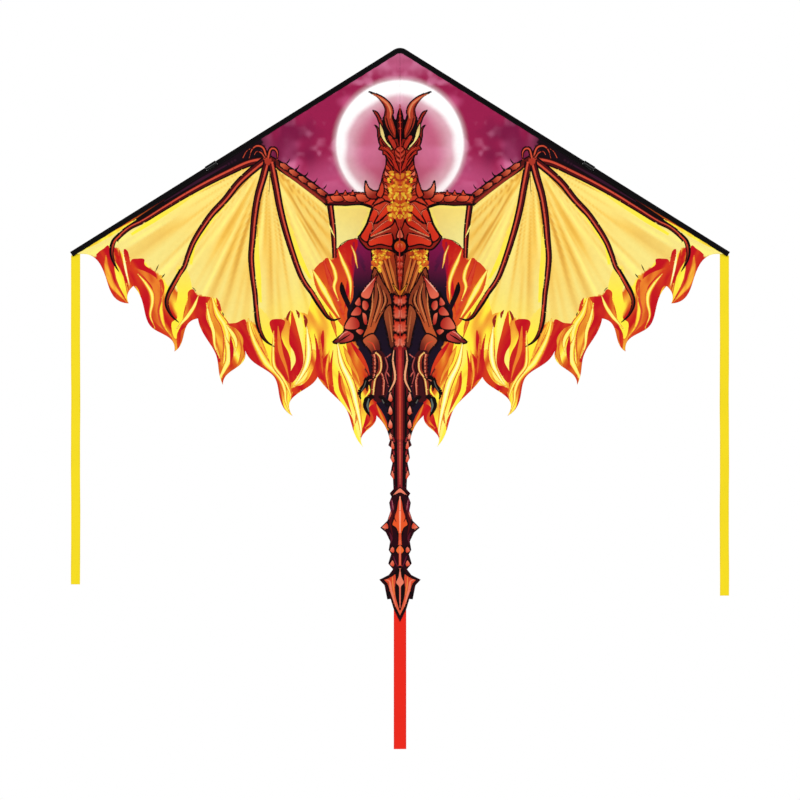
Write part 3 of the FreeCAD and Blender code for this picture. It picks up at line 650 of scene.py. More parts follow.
def draw_chest():
    area([(58, 338), (44, 330), (26, 326), (-2, 350), (-2, 436), (18, 430), (44, 426), (66, 428), (80, 416),
        (88, 402), (84, 396), (72, 376), (66, 360)], fade(EMBER, RUST, (60, 340), (60, 420)), line=3.8)
    plates = [[(56, 342), (46, 350), (52, 372), (66, 368), (62, 352)], [(46, 355), (27, 331), (21, 345),
        (40, 364), (54, 372)], [(60, 393), (36, 372), (14, 360), (15, 374), (34, 386), (62, 402),
        (67, 397)], [(67, 410), (44, 400), (18, 394), (17, 420), (42, 417), (63, 421)], [(67, 371),
        (60, 370), (57, 384), (63, 394), (68, 410), (76, 410), (84, 400), (76, 386)]]
    for points in plates:
        area(points, fade(SCALE, rgb(214, 52, 30), points[0], points[3]), line=3.4)
        brush([points[0], points[1], points[2]], [1.0, 2.0, 1.0], CORAL)
    brush([(62, 401), (44, 393), (20, 383)], [1.2, 3, 1.2], rgb(222, 150, 108))
    brush([(50, 374), (36, 362), (26, 350)], [1.2, 3.4, 1.2], INK)
    brush([(22, 346), (12, 362), (4, 384)], [1.4, 3.6, 2], INK)
    area([(8, 400), (-2, 378), (-2, 404)], CORAL, line=3.0)
    # round boss and breast bone
    area(disc(18, 421), INK)
    area(disc(12, 421), fade(ORANGE, SCALE, (0, 410), (0, 430)))
    brush([(0, 414), (4, 418), (4, 424)], [0.5, 2.5, 0.5], CORAL)


def draw_belly():
    area([(60, 430), (40, 424), (-2, 428), (-2, 540), (16, 522), (30, 520), (42, 500), (54, 470)],
        fade(rgb(176, 62, 30), rgb(140, 62, 32), (30, 430), (20, 500)), line=3.4)
    for points in ([(36, 440), (26, 470), (12, 516)], [(46, 440), (38, 470), (20, 520)], [(24, 444),
            (17, 474), (7, 512)]):
        brush(points, [1.6, 6.4, 1.6], rgb(218, 126, 58))
        brush([(x + 3.8, drop) for x, drop in points], [1.2, 2.0, 1.2], INK)
    area([(11, 438), (8, 462), (5, 500), (0, 514), (-4, 500), (-4, 438)], rgb(128, 34, 22), line=2.0)
    for drop, wide in ((446, 11), (462, 9.5), (478, 7.5), (492, 5)):
        area([(wide / 2, drop - 6), (wide / 2, drop + 4), (0, drop + 8), (-wide / 2, drop + 4),
            (-wide / 2, drop - 6)], fade(CORAL, SCALE, (0, drop - 6), (0, drop + 6)), smooth=False)
    blotches((22, 428), (60, 446), 16, 5, (7.0, 13.0))
    blotches((38, 446), (61, 476), 16, 6, (7.0, 13.0))
    area([(16, 500), (0, 528), (-8, 510), (0, 516)], AMBER, line=1.6)


def draw_legs():
    # inner thigh and calf
    area([(54, 466), (36, 496), (22, 520), (18, 545), (38, 567), (52, 600), (66, 622), (80, 616), (70, 588),
        (62, 545), (62, 500)], fade(rgb(140, 62, 36), rgb(186, 84, 40), (46, 500), (70, 616)), line=3.4)
    strokes([1.4, 3.2, 1.4], INK, [(52, 486), (46, 530), (62, 592)], [(42, 504), (35, 540), (52, 584)],
            [(30, 520), (27, 540), (38, 560)], [(57, 480), (55, 520), (66, 580)])
    strokes([1.4, 3.0, 1.4], rgb(206, 124, 72), [(48, 500), (42, 535), (55, 580)], [(36, 514), (31, 536),
            (42, 562)], [(58, 512), (59, 548), (68, 588)])
    area([(20, 545), (14, 578), (10, 634), (20, 638), (28, 602), (35, 564)], fade(rgb(160, 78, 44),
        rgb(104, 42, 26), (25, 550), (15, 630)), line=3.2)
    brush([(24, 560), (20, 590), (16, 624)], [1.4, 3.4, 1.4], rgb(190, 104, 60))
    area([(80, 620), (58, 606), (44, 622), (42, 644), (56, 652), (66, 640)], fade(rgb(186, 84, 48),
        rgb(100, 30, 22), (74, 620), (46, 640)), line=3.4)
    brush([(70, 622), (58, 628), (52, 642)], [1.4, 3.0, 1.4], EMBER)
    # armoured outer thigh, plate by plate, and its spur
    area([(48, 478), (56, 486), (86, 520), (99, 540), (107, 564), (120, 594), (106, 620), (88, 622),
        (76, 606), (68, 586), (62, 556), (58, 520)], INK)
    plates = ([(51, 484), (82, 521), (65, 530), (53, 496)], [(86, 529), (96, 541), (91, 547), (83, 545)],
        [(79, 537), (80, 551), (72, 557), (66, 548), (70, 538)], [(92, 549), (104, 566), (86, 567),
        (82, 556)], [(80, 563), (77, 584), (70, 586), (71, 567)], [(105, 572), (117, 594), (96, 597),
        (86, 590), (90, 576)], [(94, 600), (84, 609), (77, 601), (84, 596)])
    for points in plates:
        middle = np.mean(points, axis=0)
        points = [tuple(middle + PLATE_SWELL * (np.array(p) - middle)) for p in points]
        area(points, fade(rgb(224, 104, 78), rgb(168, 34, 27), max(points), min(points)), line=2.4)
    brush([(54, 489), (68, 505), (79, 518)], [1.2, 2.8, 1.6], rgb(246, 170, 148))
    area([(142, 624), (124, 608), (115, 598), (98, 607), (99, 619), (112, 625), (128, 627)],
        fade(rgb(110, 26, 28), rgb(190, 62, 54), (136, 624), (104, 606)), line=3.6)
    brush([(130, 616), (120, 606), (112, 602)], [1.2, 2.6, 1.2], rgb(232, 140, 120))
    brush([(130, 623), (116, 614), (106, 608)], [1.4, 3.4, 1.4], INK)
    # shin, sinews and foot
    area([(60, 646), (42, 642), (28, 660), (22, 694), (28, 736), (42, 752), (58, 744), (68, 708),
        (58, 676)], rgb(58, 12, 20))
    for points, widths, colour, light in (([(53, 647), (43, 658), (42, 683), (54, 703), (58, 736)],
            (8, 9, 8, 9, 7), rgb(142, 48, 32), rgb(240, 196, 112)), ([(56, 650), (54, 668), (56, 696),
            (68, 706)], (8, 7, 6, 5), rgb(120, 34, 28), rgb(226, 128, 96)), ([(40, 690), (35, 703),
            (36, 736)], (5, 7, 5), rgb(120, 34, 30), rgb(226, 130, 100)), ([(32, 656), (27, 676), (31, 694),
            (26, 712)], (4, 5, 5, 3), rgb(92, 24, 30), rgb(176, 82, 74))):
        brush(points, [width + 4.4 for width in widths], INK)
        brush(points, widths, colour)
        brush(points, [width * 0.34 for width in widths], light, shift=0.4)
    for k in range(6):
        drop = 656 + 8 * k
        brush([(60, drop), (51, drop + 3)], [1.2, 1.8], INK)
    strokes([1.4, 3.0], rgb(206, 96, 84), [(28, 688), (20, 699)], [(26, 716), (18, 724)], [(28, 656),
            (20, 650), (14, 645)])
    for points, widths in (([(58, 698), (70, 702), (75, 715), (86, 731), (83, 746)], (8, 10, 9, 9, 2)),
            ([(56, 738), (68, 745), (72, 758), (69, 771), (63, 782)], (9, 14, 14, 9, 1.4)), ([(44, 739),
            (36, 745), (31, 754), (29, 764)], (6, 10, 8, 1.4)), ([(64, 706), (70, 716), (70, 728)],
            (5, 7, 2))):
        brush(points, widths, INK)
    brush([(66, 744), (69, 758), (66, 772)], [2.0, 4.4, 1.4], rgb(92, 104, 98))
    brush([(72, 706), (76, 718), (82, 728)], [1.4, 2.2, 1.4], rgb(84, 84, 78))
    brush([(38, 746), (34, 754)], [1.4, 2.6], rgb(84, 84, 78))
    brush([(66, 716), (65, 728), (73, 740)], [1.4, 4.0, 1.8], YELLOW)


def draw_tail_root():
    # belly shields
    for low, high, half in ((526, 543, 12), (549, 573, 12.5), (579, 603, 12), (609, 632, 11.5)):
        area([(half + 3, low - 6), (half + 3, high + 3), (0, high + 7), (-half - 3, high + 3),
            (-half - 3, low - 6), (0, low - 1)], INK, smooth=False)
        area([(half, low - 1), (half - 1, high - 2), (0, high + 3), (1 - half, high - 2), (-half, low - 1),
            (0, low + 5)], fade(SCALE, CORAL, (half, low), (0, high)), smooth=False)
        brush([(0, low + 8), (0, high - 2)], [4, 6], rgb(246, 168, 140))
    tail = [(15, 634), (17, 660), (19, 700), (21, 760), (22, 800), (22, 836)]
    area([(x + 4, drop) for x, drop in tail] + [(-26, 836), (-22, 634)], INK, smooth=False)
    area(tail + [(-22, 836), (-22, 634)], fade(rgb(112, 18, 24), MAROON, (0, 640), (0, 800)), smooth=False)
    brush(tail, [4, 5, 5.5, 6], INK)
    brush([(10, 640), (11, 700), (12, 770), (12, 834)], [3, 4, 5, 5], INK)
    brush([(0, 634), (0, 700), (0, 770), (0, 836)], [8, 10, 11.5, 12], fade(rgb(172, 40, 38),
        rgb(140, 34, 32), (0, 640), (0, 790)))
    brush([(0, 640), (0, 740), (0, 836)], [1.2, 3.0, 4.0], rgb(206, 76, 50))
    for drop in (740, 768, 797, 826):
        area([(26, drop + 6), (22, drop - 9), (16, drop - 2), (15, drop + 8), (20, drop + 12)],
            fade(rgb(244, 150, 124), EMBER, (24, drop - 6), (17, drop + 10)), line=3.0)
    # hanging sinew beside the root
    sinew = [(13, 641), (15, 664), (11, 690), (12, 708), (23, 730)]
    brush(sinew, [4, 7, 8, 8, 3], INK)
    brush(sinew, [1.4, 3.6, 4.2, 4.0, 1.4], rgb(232, 158, 114))


def draw_tail_strip():
    pink = rgb(230, 122, 96)
    area([(-70, 830), (70, 830), (70, 1230), (-70, 1230)], fade(rgb(66, 6, 14), rgb(38, 3, 14), (0, 830),
        (0, 980)), smooth=False)
    brush([(0, 832), (0, 880), (0, 936)], [12, 11, 9], rgb(130, 30, 36))
    brush([(0, 832), (0, 880), (0, 926)], [4.0, 3.4, 1.6], rgb(190, 84, 60))
    for k in (-1, 1):
        brush([(k * 9, 832), (k * 8.4, 880), (k * 8, 930)], [5, 5.6, 5], INK)
    for drop in (840, 868, 903):
        area([(20, drop + 9), (17, drop - 8), (12, drop + 2), (12, drop + 12)], fade(pink, EMBER,
            (17, drop - 4), (12, drop + 10)), line=2.4)
        brush([(14, drop - 14), (12.6, drop - 4)], [1.4, 3.4], rgb(150, 36, 40))
    # first spade
    area(mirrored([(0, 932), (9, 940), (19, 952), (10, 948), (0, 944)]), pink, smooth=False, line=2.6)
    brush([(20, 954), (17, 974), (20, 992)], [4, 6, 3], rgb(92, 20, 44))
    brush([(17, 960), (14, 980)], [1.2, 2.4], rgb(170, 84, 96))
    brush([(11, 968), (20, 1006), (16, 1034)], [1.4, 6, 1.4], MAROON)
    area(mirrored([(0, 950), (5, 962), (8, 980), (14, 1000), (17, 1012), (8, 1020), (0, 1040)]), fade(EMBER,
        rgb(226, 84, 36), (0, 950), (0, 1020)), line=3.0)
    brush([(0, 952), (0, 990), (0, 1030)], [2.4, 4.4, 2.4], rgb(246, 150, 120))
    brush([(8, 1006), (12, 996), (10, 984)], [1.2, 2.4, 1.2], MAROON)
    area([(39, 1018), (29, 1007), (24, 1014), (26, 1021)], fade(pink, EMBER, (38, 1018), (25, 1012)),
        line=2.4)
    brush([(24, 1000), (20, 988), (23, 976)], [1.4, 3.2, 1.4], rgb(206, 96, 82))
    brush([(22, 1028), (18, 1040), (20, 1052)], [1.4, 5, 1.4], rgb(84, 18, 36))
    brush([(0, 1028), (0, 1050), (0, 1062)], [5, 6, 9], rgb(214, 78, 44))
    area([(9, 1066), (3, 1056), (-3, 1056), (-9, 1066), (-3, 1074), (3, 1074)], rgb(236, 104, 46), line=2.2)
    brush([(0, 1070), (0, 1104)], [5, 5], EMBER)
    brush([(0, 1044), (0, 1070), (0, 1100)], [1.4, 2.4, 1.4], pink)
    for drop in (1058, 1087):
        area([(22, drop + 9), (16, drop - 1), (11, drop + 7), (14, drop + 14)], fade(pink, EMBER,
            (21, drop), (12, drop + 12)), line=2.4)
    brush([(14, 1078), (10, 1090), (5, 1100)], [1.4, 3, 1.4], rgb(92, 20, 44))
    # arrowhead
    area(mirrored([(0, 1100), (8, 1113), (22, 1123), (36, 1128), (27, 1138), (23, 1152), (12, 1184),
        (0, 1207)]), fade(EMBER, rgb(214, 88, 58), (0, 1100), (0, 1200)), smooth=False, line=3.2)
    brush([(30, 1128), (22, 1132), (19, 1150), (9, 1184)], [1.4, 5, 4.4, 1.4], pink)
    brush([(16, 1122), (15, 1140), (12, 1160)], [1.2, 2.6, 1.2], rgb(232, 128, 60))
    area([(10, 1108), (9, 1126), (11, 1146), (9, 1166), (4, 1184), (0, 1194), (-4, 1184), (-9, 1166),
        (-11, 1146), (-9, 1126), (-10, 1108), (0, 1098)], INK)
    area(mirrored([(0, 1104), (3, 1122), (8, 1134), (3, 1141), (0, 1150)]), pink)
    brush([(0, 1140), (0, 1165), (0, 1188)], [3.4, 3.0, 1.6], rgb(226, 104, 84))
    area([(27, 1152), (23, 1164), (24, 1174), (34, 1174)], INK)


def draw_print():
    draw_wing_ground()
    draw_inner_gap()
    draw_flames()
    draw_wing_bones()
    draw_neck()
    draw_head()
    draw_belly()
    draw_chest()
    draw_legs()
    draw_tail_root()
    draw_tail_strip()
    blotches((0, 262), (24, 366), 34, 8, (8.0, 17.0))


GRAIN = 0.05  # share by which the print's colours vary, in patches of the size below
GRAIN_SIZE = 5.0


def inside(outline, x, drop):
    """Which points lie inside a closed outline, by the winding rule."""
    turns = np.zeros(len(x), int)
    for (ax, ad), (bx, bd) in zip(outline, np.roll(outline, -1, 0)):
        side_of = (bx - ax) * (drop - ad) - (x - ax) * (bd - ad)
        turns += ((ad <= drop) & (bd > drop) & (side_of > 0)).astype(int)
        turns -= ((ad > drop) & (bd <= drop) & (side_of < 0)).astype(int)
    return turns != 0


def printed(x, drop, side):
    """Colours of the print at these points of one half."""
    colours = sky(x, drop)
    order = np.argsort(drop)
    sorted_drop = drop[order]
    for outline, paint in layers:
        low, high = outline.min(0), outline.max(0)
        first, last = np.searchsorted(sorted_drop, [low[1], high[1]])
        near = order[first:last]
        near = near[(x[near] >= low[0]) & (x[near] <= high[0])]
        hit = near[inside(outline, x[near], drop[near])] if len(near) else near
        if len(hit):
            colours[hit] = paint(x[hit], drop[hit])
    grain = 1 + GRAIN * (noise(x * side, drop, GRAIN_SIZE, 3) - 0.5)
    return np.clip(colours * grain[:, None], 0, 1)


def edge_pairs():
    """Pairs of points on both sides of every edge that shows in the print."""
    gap = 0.24  # mm from the edge to each of the two
    outlines = [outline for outline, _ in layers]
    reach = np.concatenate([square_to(round_loop(outline)) * gap for outline in outlines])
    outlines = np.concatenate(outlines)
    inner, outer = outlines + reach, outlines - reach
    first, second = (np.sqrt(printed(*spots.T, 1)) for spots in (inner, outer))
    shows = np.abs(first - second).max(axis=1) > 0.1
    return inner[shows], outer[shows]


def thinned(pairs, cell):
    """At most one of the pairs in every cell, so that the print's edges stay crisp in the cloth's mesh."""
    inner, outer = pairs
    _, keep = np.unique(np.round((inner + outer) / 2 / cell).astype(int), axis=0, return_index=True)
    return np.concatenate([inner[keep], outer[keep]])


# ---- Materials ----

SLOT_OF = {}


class Finish:
    """A node material in the making, placed by the object's own coordinates."""

    def __init__(self, name):
        self.material = bpy.data.materials.new(name)
        self.material.use_nodes = True
        self.tree = self.material.node_tree
        self.spot = self.node("TexCoord").outputs["Object"]

    def node(self, kind):
        return self.tree.nodes.new(f"ShaderNode{kind}")

    def texture(self, kind, **values):
        """A texture's 0 to 1. Values go to its sockets, or else to its settings."""
        node = self.node(f"Tex{kind}")
        self.tree.links.new(self.spot, node.inputs["Vector"])
        for key, value in values.items():
            if key in node.inputs:
                node.inputs[key].default_value = value
            else:
                setattr(node, key, value)
        return node.outputs["Distance" if kind == "Voronoi" else "Fac"]

    def grey(self, factor, low, high):
        """Turns a texture's 0 to 1 into a range of grey."""
        node = self.node("MapRange")
        self.tree.links.new(factor, node.inputs["Value"])
        node.inputs["To Min"].default_value = low
        node.inputs["To Max"].default_value = high
        return node.outputs["Result"]

    def tint(self, colour, factor, low, high):
        """The colour made darker or lighter by a texture."""
        factor = self.grey(factor, low, high)
        node = self.node("VectorMath")
        node.operation = "SCALE"
        if isinstance(colour, bpy.types.NodeSocket):
            self.tree.links.new(colour, node.inputs[0])
        else:
            node.inputs[0].default_value = colour
        self.tree.links.new(factor, node.inputs["Scale"])
        return node.outputs["Vector"]

    def done(self, colour, roughness, values, *bumps):
        """Sets up the shader. Bumps are (height, strength, distance in metres), one on the other."""
        shader = self.tree.nodes["Principled BSDF"]
        self.tree.links.new(colour, shader.inputs["Base Color"])
        self.tree.links.new(roughness, shader.inputs["Roughness"])
        for key, value in values.items():
            shader.inputs[key].default_value = value
        last = None
        for height, strength, distance in bumps:
            node = self.node("Bump")
            node.inputs["Strength"].default_value = strength
            node.inputs["Distance"].default_value = distance
            self.tree.links.new(height, node.inputs["Height"])
            if last:
                self.tree.links.new(last, node.inputs["Normal"])
            last = node.outputs["Normal"]
        self.tree.links.new(last, shader.inputs["Normal"])
        return self.material


def cloth_material(name, slot, colour=None, pitch=0.0007, rough=0.62, sheen=0.02, specular=0.05,
                   variation=0.05):
    """Woven polyester with crossed threads, soft wrinkles and some wear. No colour means the print."""
    finish = Finish(name)
    threads = math.pi / 10 / pitch  # a wave texture of scale 1 repeats every pi / 10
    warp = finish.texture("Wave", bands_direction="X", Scale=threads, Distortion=0.4)
    weft = finish.texture("Wave", bands_direction="Z", Scale=threads, Distortion=0.4)
    weave = finish.node("Math")
    weave.operation = "MAXIMUM"
    finish.tree.links.new(warp, weave.inputs[0])
    finish.tree.links.new(weft, weave.inputs[1])
    soft = finish.texture("Noise", Scale=22.0, Detail=4.0, Roughness=0.55)
    fine = finish.texture("Noise", Scale=900.0, Detail=2.0)
    patch = finish.texture("Noise", Scale=8.0, Detail=3.0)
    if colour is None:
        attribute = finish.node("Attribute")
        attribute.attribute_name = "print"
        colour = attribute.outputs["Color"]
    tone = finish.tint(colour, patch, 1 - variation, 1 + variation)
    tone = finish.tint(tone, weave.outputs["Value"], 0.955, 1.02)
    tone = finish.tint(tone, fine, 0.97, 1.03)
    material = finish.done(
        tone, finish.grey(soft, rough - 0.1, rough + 0.1),
        {"Specular IOR Level": specular, "Sheen Weight": sheen, "Sheen Roughness": 0.45},
        (soft, 0.35, 0.004), (weave.outputs["Value"], 0.25, 0.00008))
    SLOT_OF[material] = slot
    return material


def rod_material(name, colour):
    """Pultruded glass fibre: fine lengthwise streaks under a smooth resin skin."""
    finish = Finish(name)
    streak = finish.texture("Noise", Scale=420.0, Detail=5.0, Roughness=0.7)
    speck = finish.texture("Noise", Scale=60.0, Detail=3.0)
    return finish.done(finish.tint(colour, streak, 0.75, 1.3), finish.grey(speck, 0.28, 0.46),
                       {"Coat Weight": 0.35, "Coat Roughness": 0.2}, (streak, 0.3, 0.00005))


def plastic_material(name, colour, rough, specular=0.28):
    """Moulded plastic: fine grain, faint flow marks and dulled high spots."""
    finish = Finish(name)
    fine = finish.texture("Voronoi", Scale=1400.0)
    flow = finish.texture("Noise", Scale=45.0, Detail=4.0, Distortion=0.6)
    return finish.done(finish.tint(colour, flow, 0.85, 1.2), finish.grey(flow, rough - 0.08, rough + 0.12),
                       {"Specular IOR Level": specular}, (fine, 0.35, 0.00004))


def brass_material(name):
    """Pressed brass with rolled scratches and tarnish in the hollows."""
    finish = Finish(name)
    tarnish = finish.texture("Noise", Scale=260.0, Detail=6.0, Roughness=0.65)
    scratch = finish.texture("Noise", Scale=2400.0, Detail=2.0, Distortion=1.5)
    blend = finish.node("Mix")
    blend.data_type = "RGBA"
    blend.inputs["A"].default_value = (*rgb(132, 96, 44), 1)
    blend.inputs["B"].default_value = (*rgb(226, 186, 104), 1)
    finish.tree.links.new(tarnish, blend.inputs["Factor"])
    return finish.done(blend.outputs["Result"], finish.grey(tarnish, 0.45, 0.22), {"Metallic": 1.0},
                       (scratch, 0.2, 0.00003))


PRINT_CLOTH = cloth_material("printed_polyester", "printed_polyester")
BLACK_CLOTH = cloth_material("black_polyester", "black_polyester", rgb(12, 10, 12), pitch=0.0009, rough=0.7,
                             specular=0.04, variation=0.2)
KEEL_CLOTH = cloth_material("red_polyester", "red_polyester", rgb(186, 40, 30), rough=0.6, variation=0.1)
YELLOW_CLOTH = cloth_material("yellow_ribbon", "yellow_ribbon", rgb(238, 214, 32), pitch=0.0008, rough=0.5)
RED_CLOTH = cloth_material("red_ribbon", "red_ribbon", rgb(228, 38, 25), pitch=0.0008, rough=0.5)
BLACK_THREAD = cloth_material("black_thread", "black_polyester", rgb(26, 23, 25), pitch=0.0004, rough=0.5,
                              sheen=0.04, variation=0.2)
YELLOW_THREAD = cloth_material("yellow_thread", "yellow_ribbon", rgb(226, 188, 14), pitch=0.0004, rough=0.5,
                               variation=0.1)
RED_THREAD = cloth_material("red_thread", "red_polyester", rgb(150, 14, 18), pitch=0.0004, rough=0.5,
                            variation=0.1)
FINISHES = {
    rod_material("glass_fibre", rgb(36, 36, 38)):
        ("spine_rod", "edge_spar_left", "edge_spar_right", "spreader_rod"),
    plastic_material("soft_vinyl", rgb(26, 26, 28), 0.48):
        ("spine_top_cap", "spine_bottom_cap", "spar_nose_cap_left", "spar_nose_cap_right",
         "spar_tip_cap_left", "spar_tip_cap_right"),
    plastic_material("moulded_plastic", rgb(10, 10, 12), 0.5, specular=0.12):
        ("spreader_hook_left", "spreader_hook_right"),
    brass_material("brass"): ("tow_eyelet", "eyelet_washer"),
}
for material, names in FINISHES.items():
    for name in names:
        for material_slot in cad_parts[name].material_slots:
            material_slot.material = material

# ---- Mesh helpers ----

MIDDLE = "spine_frame"
SIDES = (("left", -1), ("right", 1))
FRONT, BACK = (0, -1, 0), (0, 1, 0)
FOLD_START, FOLD_END = 4.0, 20.0  # mm from the spine, on both sides of the line where each wing folds
HALF_CLOTH = 0.25  # mm, half of the thickness that cloth is drawn with


def make_piece(name, points, faces, material, flat_from=None, colours=None, slot=None):
    """A mesh object with smooth faces, and flat ones from this face on."""
    mesh = bpy.data.meshes.new(name)
    mesh.from_pydata([tuple(p) for p in points], [], [tuple(f) for f in faces])
    mesh.validate()
    smooth = np.ones(len(mesh.polygons), bool)
    if flat_from is not None:
        smooth[flat_from:] = False
    mesh.polygons.foreach_set("use_smooth", smooth)
    mesh.materials.append(material)
    if colours is not None:
        layer = mesh.color_attributes.new("print", "FLOAT_COLOR", "POINT")
        layer.data.foreach_set("color", np.concatenate([colours, np.ones((len(colours), 1))], 1).ravel())
    mesh.update()
    piece = bpy.data.objects.new(name, mesh)
    bpy.context.collection.objects.link(piece)
    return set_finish(piece, slot or SLOT_OF[material])


def fold_with_wing(piece, label, side):
    """Bakes the placement of cloth that crosses a wing's fold line into its mesh."""
    place(side, FOLD_START, 0)
    place(side, FOLD_END, 0)
    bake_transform(piece)


def thick_grid(name, grids, thickness, material):
    """Cloth of this thickness through grids of points, each closed round its rim."""
    points, faces, rims = [], [], []
    for rows in grids:
        rows = np.array(rows, float)
        count, width = rows.shape[:2]
        normal = np.cross(np.gradient(rows, axis=1), np.gradient(rows, axis=0))
        normal /= np.linalg.norm(normal, axis=2)[..., None]
        first, total = sum(map(len, points)), count * width
        points += [(rows + normal * lift).reshape(-1, 3) for lift in (thickness / 2, -thickness / 2)]
        for i in range(count - 1):
            for j in range(width - 1):
                a = first + i * width + j
                b, c, d = a + 1, a + width + 1, a + width
                faces += [(a, b, c, d), (d + total, c + total, b + total, a + total)]
        border = [(0, j) for j in range(width)] + [(i, width - 1) for i in range(1, count)]
        border += [(count - 1, j) for j in range(width - 2, -1, -1)]
        border += [(i, 0) for i in range(count - 2, 0, -1)]
        border = [first + i * width + j for i, j in border]
        rims += [(b, a, a + total, b + total) for a, b in zip(border, border[1:] + border[:1])]
    return make_piece(name, np.concatenate(points), faces + rims, material, len(faces))


def section_length(section):
    """Length of the cloth round a section, in metres."""
    return float(np.linalg.norm(np.diff(np.array(section), axis=0), axis=1).sum()) * MM


def tube_faces(base, count, size):
    """Faces of a closed tube through rings of points, without and with its two ends."""
    walls = []
    for i in range(count - 1):
        for j in range(size):
            a, b = base + i * size + j, base + i * size + (j + 1) % size
            walls.append((a, b, b + size, a + size))
    start = tuple(base + j for j in range(size))[::-1]
    end = tuple(base + (count - 1) * size + j for j in range(size))
    return walls, [start, end]


def evenly(points, step):
    """Points at even steps along a line."""
    points = np.array(points, float)
    length = np.concatenate([[0], np.cumsum(np.linalg.norm(np.diff(points, axis=0), axis=1))])
    count = max(2, int(round(length[-1] / step)) + 1)
    marks = np.linspace(0, length[-1], count)
    return np.stack([np.interp(marks, length, points[:, k]) for k in range(3)], 1)


# Place along a stitch, and its width and height there, from 0 to 1.
STITCH_PROFILE = ((0.0, 0.25, 0.0), (0.18, 0.85, 0.75), (0.5, 1.0, 1.0), (0.82, 0.85, 0.75),
                  (1.0, 0.25, 0.0))
STITCH_SIDES = 5


def stitches(name, lines, up, material, length=2.9, gap=1.3, width=0.55, height=0.28, tilt=0.0,
             colour_at=None, slot=None):
    """Rows of sewn thread: each stitch a small rounded ridge that dips into the cloth at both ends."""
    up = Vector(up).normalized()
    points, faces = [], []
    for line in lines:
        marks = evenly(line, (length + gap) * MM)
        for first, last in zip(marks, marks[1:]):
            first, last = Vector(first), Vector(last)
            way = (last - first).normalized()
            way = (way + way.cross(up).normalized() * tilt).normalized()
            side_way = way.cross(up).normalized()
            walls, ends = tube_faces(len(points), len(STITCH_PROFILE), STITCH_SIDES)
            faces += walls + ends
            for share, wide, high in STITCH_PROFILE:
                centre = first + way * length * MM * share
                for k in range(STITCH_SIDES):
                    angle = math.pi * k / (STITCH_SIDES - 1)
                    points.append(centre + side_way * math.cos(angle) * width / 2 * wide * MM
                                  + up * (math.sin(angle) * height * (0.3 + 0.7 * high) - 0.06) * MM)
    colours = None if colour_at is None else colour_at(points)
    return make_piece(name, points, faces, material, colours=colours, slot=slot)


# ---- Shape of the flying sail ----

ARC = NOSE_RADIUS * EDGE_ANGLE  # length of the rounded nose on one side
TIP = SPAN_HALF / math.cos(EDGE_ANGLE) + ARC - NOSE_RADIUS * math.tan(EDGE_ANGLE)


def leading(distance, depth):
    """Print millimetres of a point this far along the leading edge from the nose and this deep inside it."""
    turn = min(distance, ARC) / NOSE_RADIUS
    x = (NOSE_RADIUS - depth) * math.sin(turn)
    drop = NOSE_RADIUS - (NOSE_RADIUS - depth) * math.cos(turn)
    beyond = max(distance - ARC, 0)
    return x + beyond * math.cos(EDGE_ANGLE), drop + beyond * math.sin(EDGE_ANGLE)


def billow(x, drop):
    """How far wind pushes the sail back, in mm, with soft ripples towards the free edge."""
    x, drop = np.asarray(x, float), np.asarray(drop, float)
    depth = (drop - edge_drop(x)) * math.cos(EDGE_ANGLE)
    full = ramp(depth, 8, 170) * ramp(x, 12, 190)
    free = ramp(depth, 110, 330) * ramp(x, 60, 200)
    ripples = 1.5 * np.sin(x / 21 + drop / 60) + 1.1 * np.sin(x / 13.5 - drop / 38 + 1.0)
    soft = 1.6 * (noise(x, drop, 70, 1) - 0.5)
    return 4.2 * full + (ripples + soft) * free


def borders(triangles):
    """Sides that only one of the triangles has."""
    ways = {way for t in triangles for way in zip(t, t[1:] + t[:1])}
    return [way for way in ways if way[::-1] not in ways]


def outline_of(name):
    """Outline of a flat CAD cloth in the print's millimetres, starting nearest the nose."""
    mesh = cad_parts[name].data
    points = [tuple(v.co) for v in mesh.vertices]
    front = min(p[1] for p in points)
    ways, place_of = set(), {}
    for polygon in mesh.polygons:
        corners = [points[k] for k in polygon.vertices]
        if max(p[1] for p in corners) - front > 1e-5:
            continue
        keys = [(round(p[0] * 1e5), round(p[2] * 1e5)) for p in corners]
        place_of.update(zip(keys, corners))
        ways.update(zip(keys, keys[1:] + keys[:1]))
    following = {a: b for a, b in ways if (b, a) not in ways and a != b}
    start = max(following, key=lambda k: k[1] - abs(k[0]))
    loop, key = [start], following[start]
    while key != start:
        loop.append(key)
        key = following[key]
    return np.array([(place_of[k][0] / MM, (NOSE_Z - place_of[k][2]) / MM) for k in loop])


def clear_of(outline, points):
    """Which points keep away from every side of a closed outline."""
    gap = 0.3  # mm
    clear = np.ones(len(points), bool)
    for a, b in zip(outline, np.roll(outline, -1, 0)):
        boxed = (points > np.minimum(a, b) - gap) & (points < np.maximum(a, b) + gap)
        near = np.flatnonzero(boxed.all(axis=1))
        way = b - a
        share = np.clip((points[near] - a) @ way / (way @ way), 0, 1)
        clear[near] &= np.linalg.norm(points[near] - a - share[:, None] * way, axis=1) > gap
    return clear


RIM_STEP = 2.5  # mm between points on a flat cloth's outline


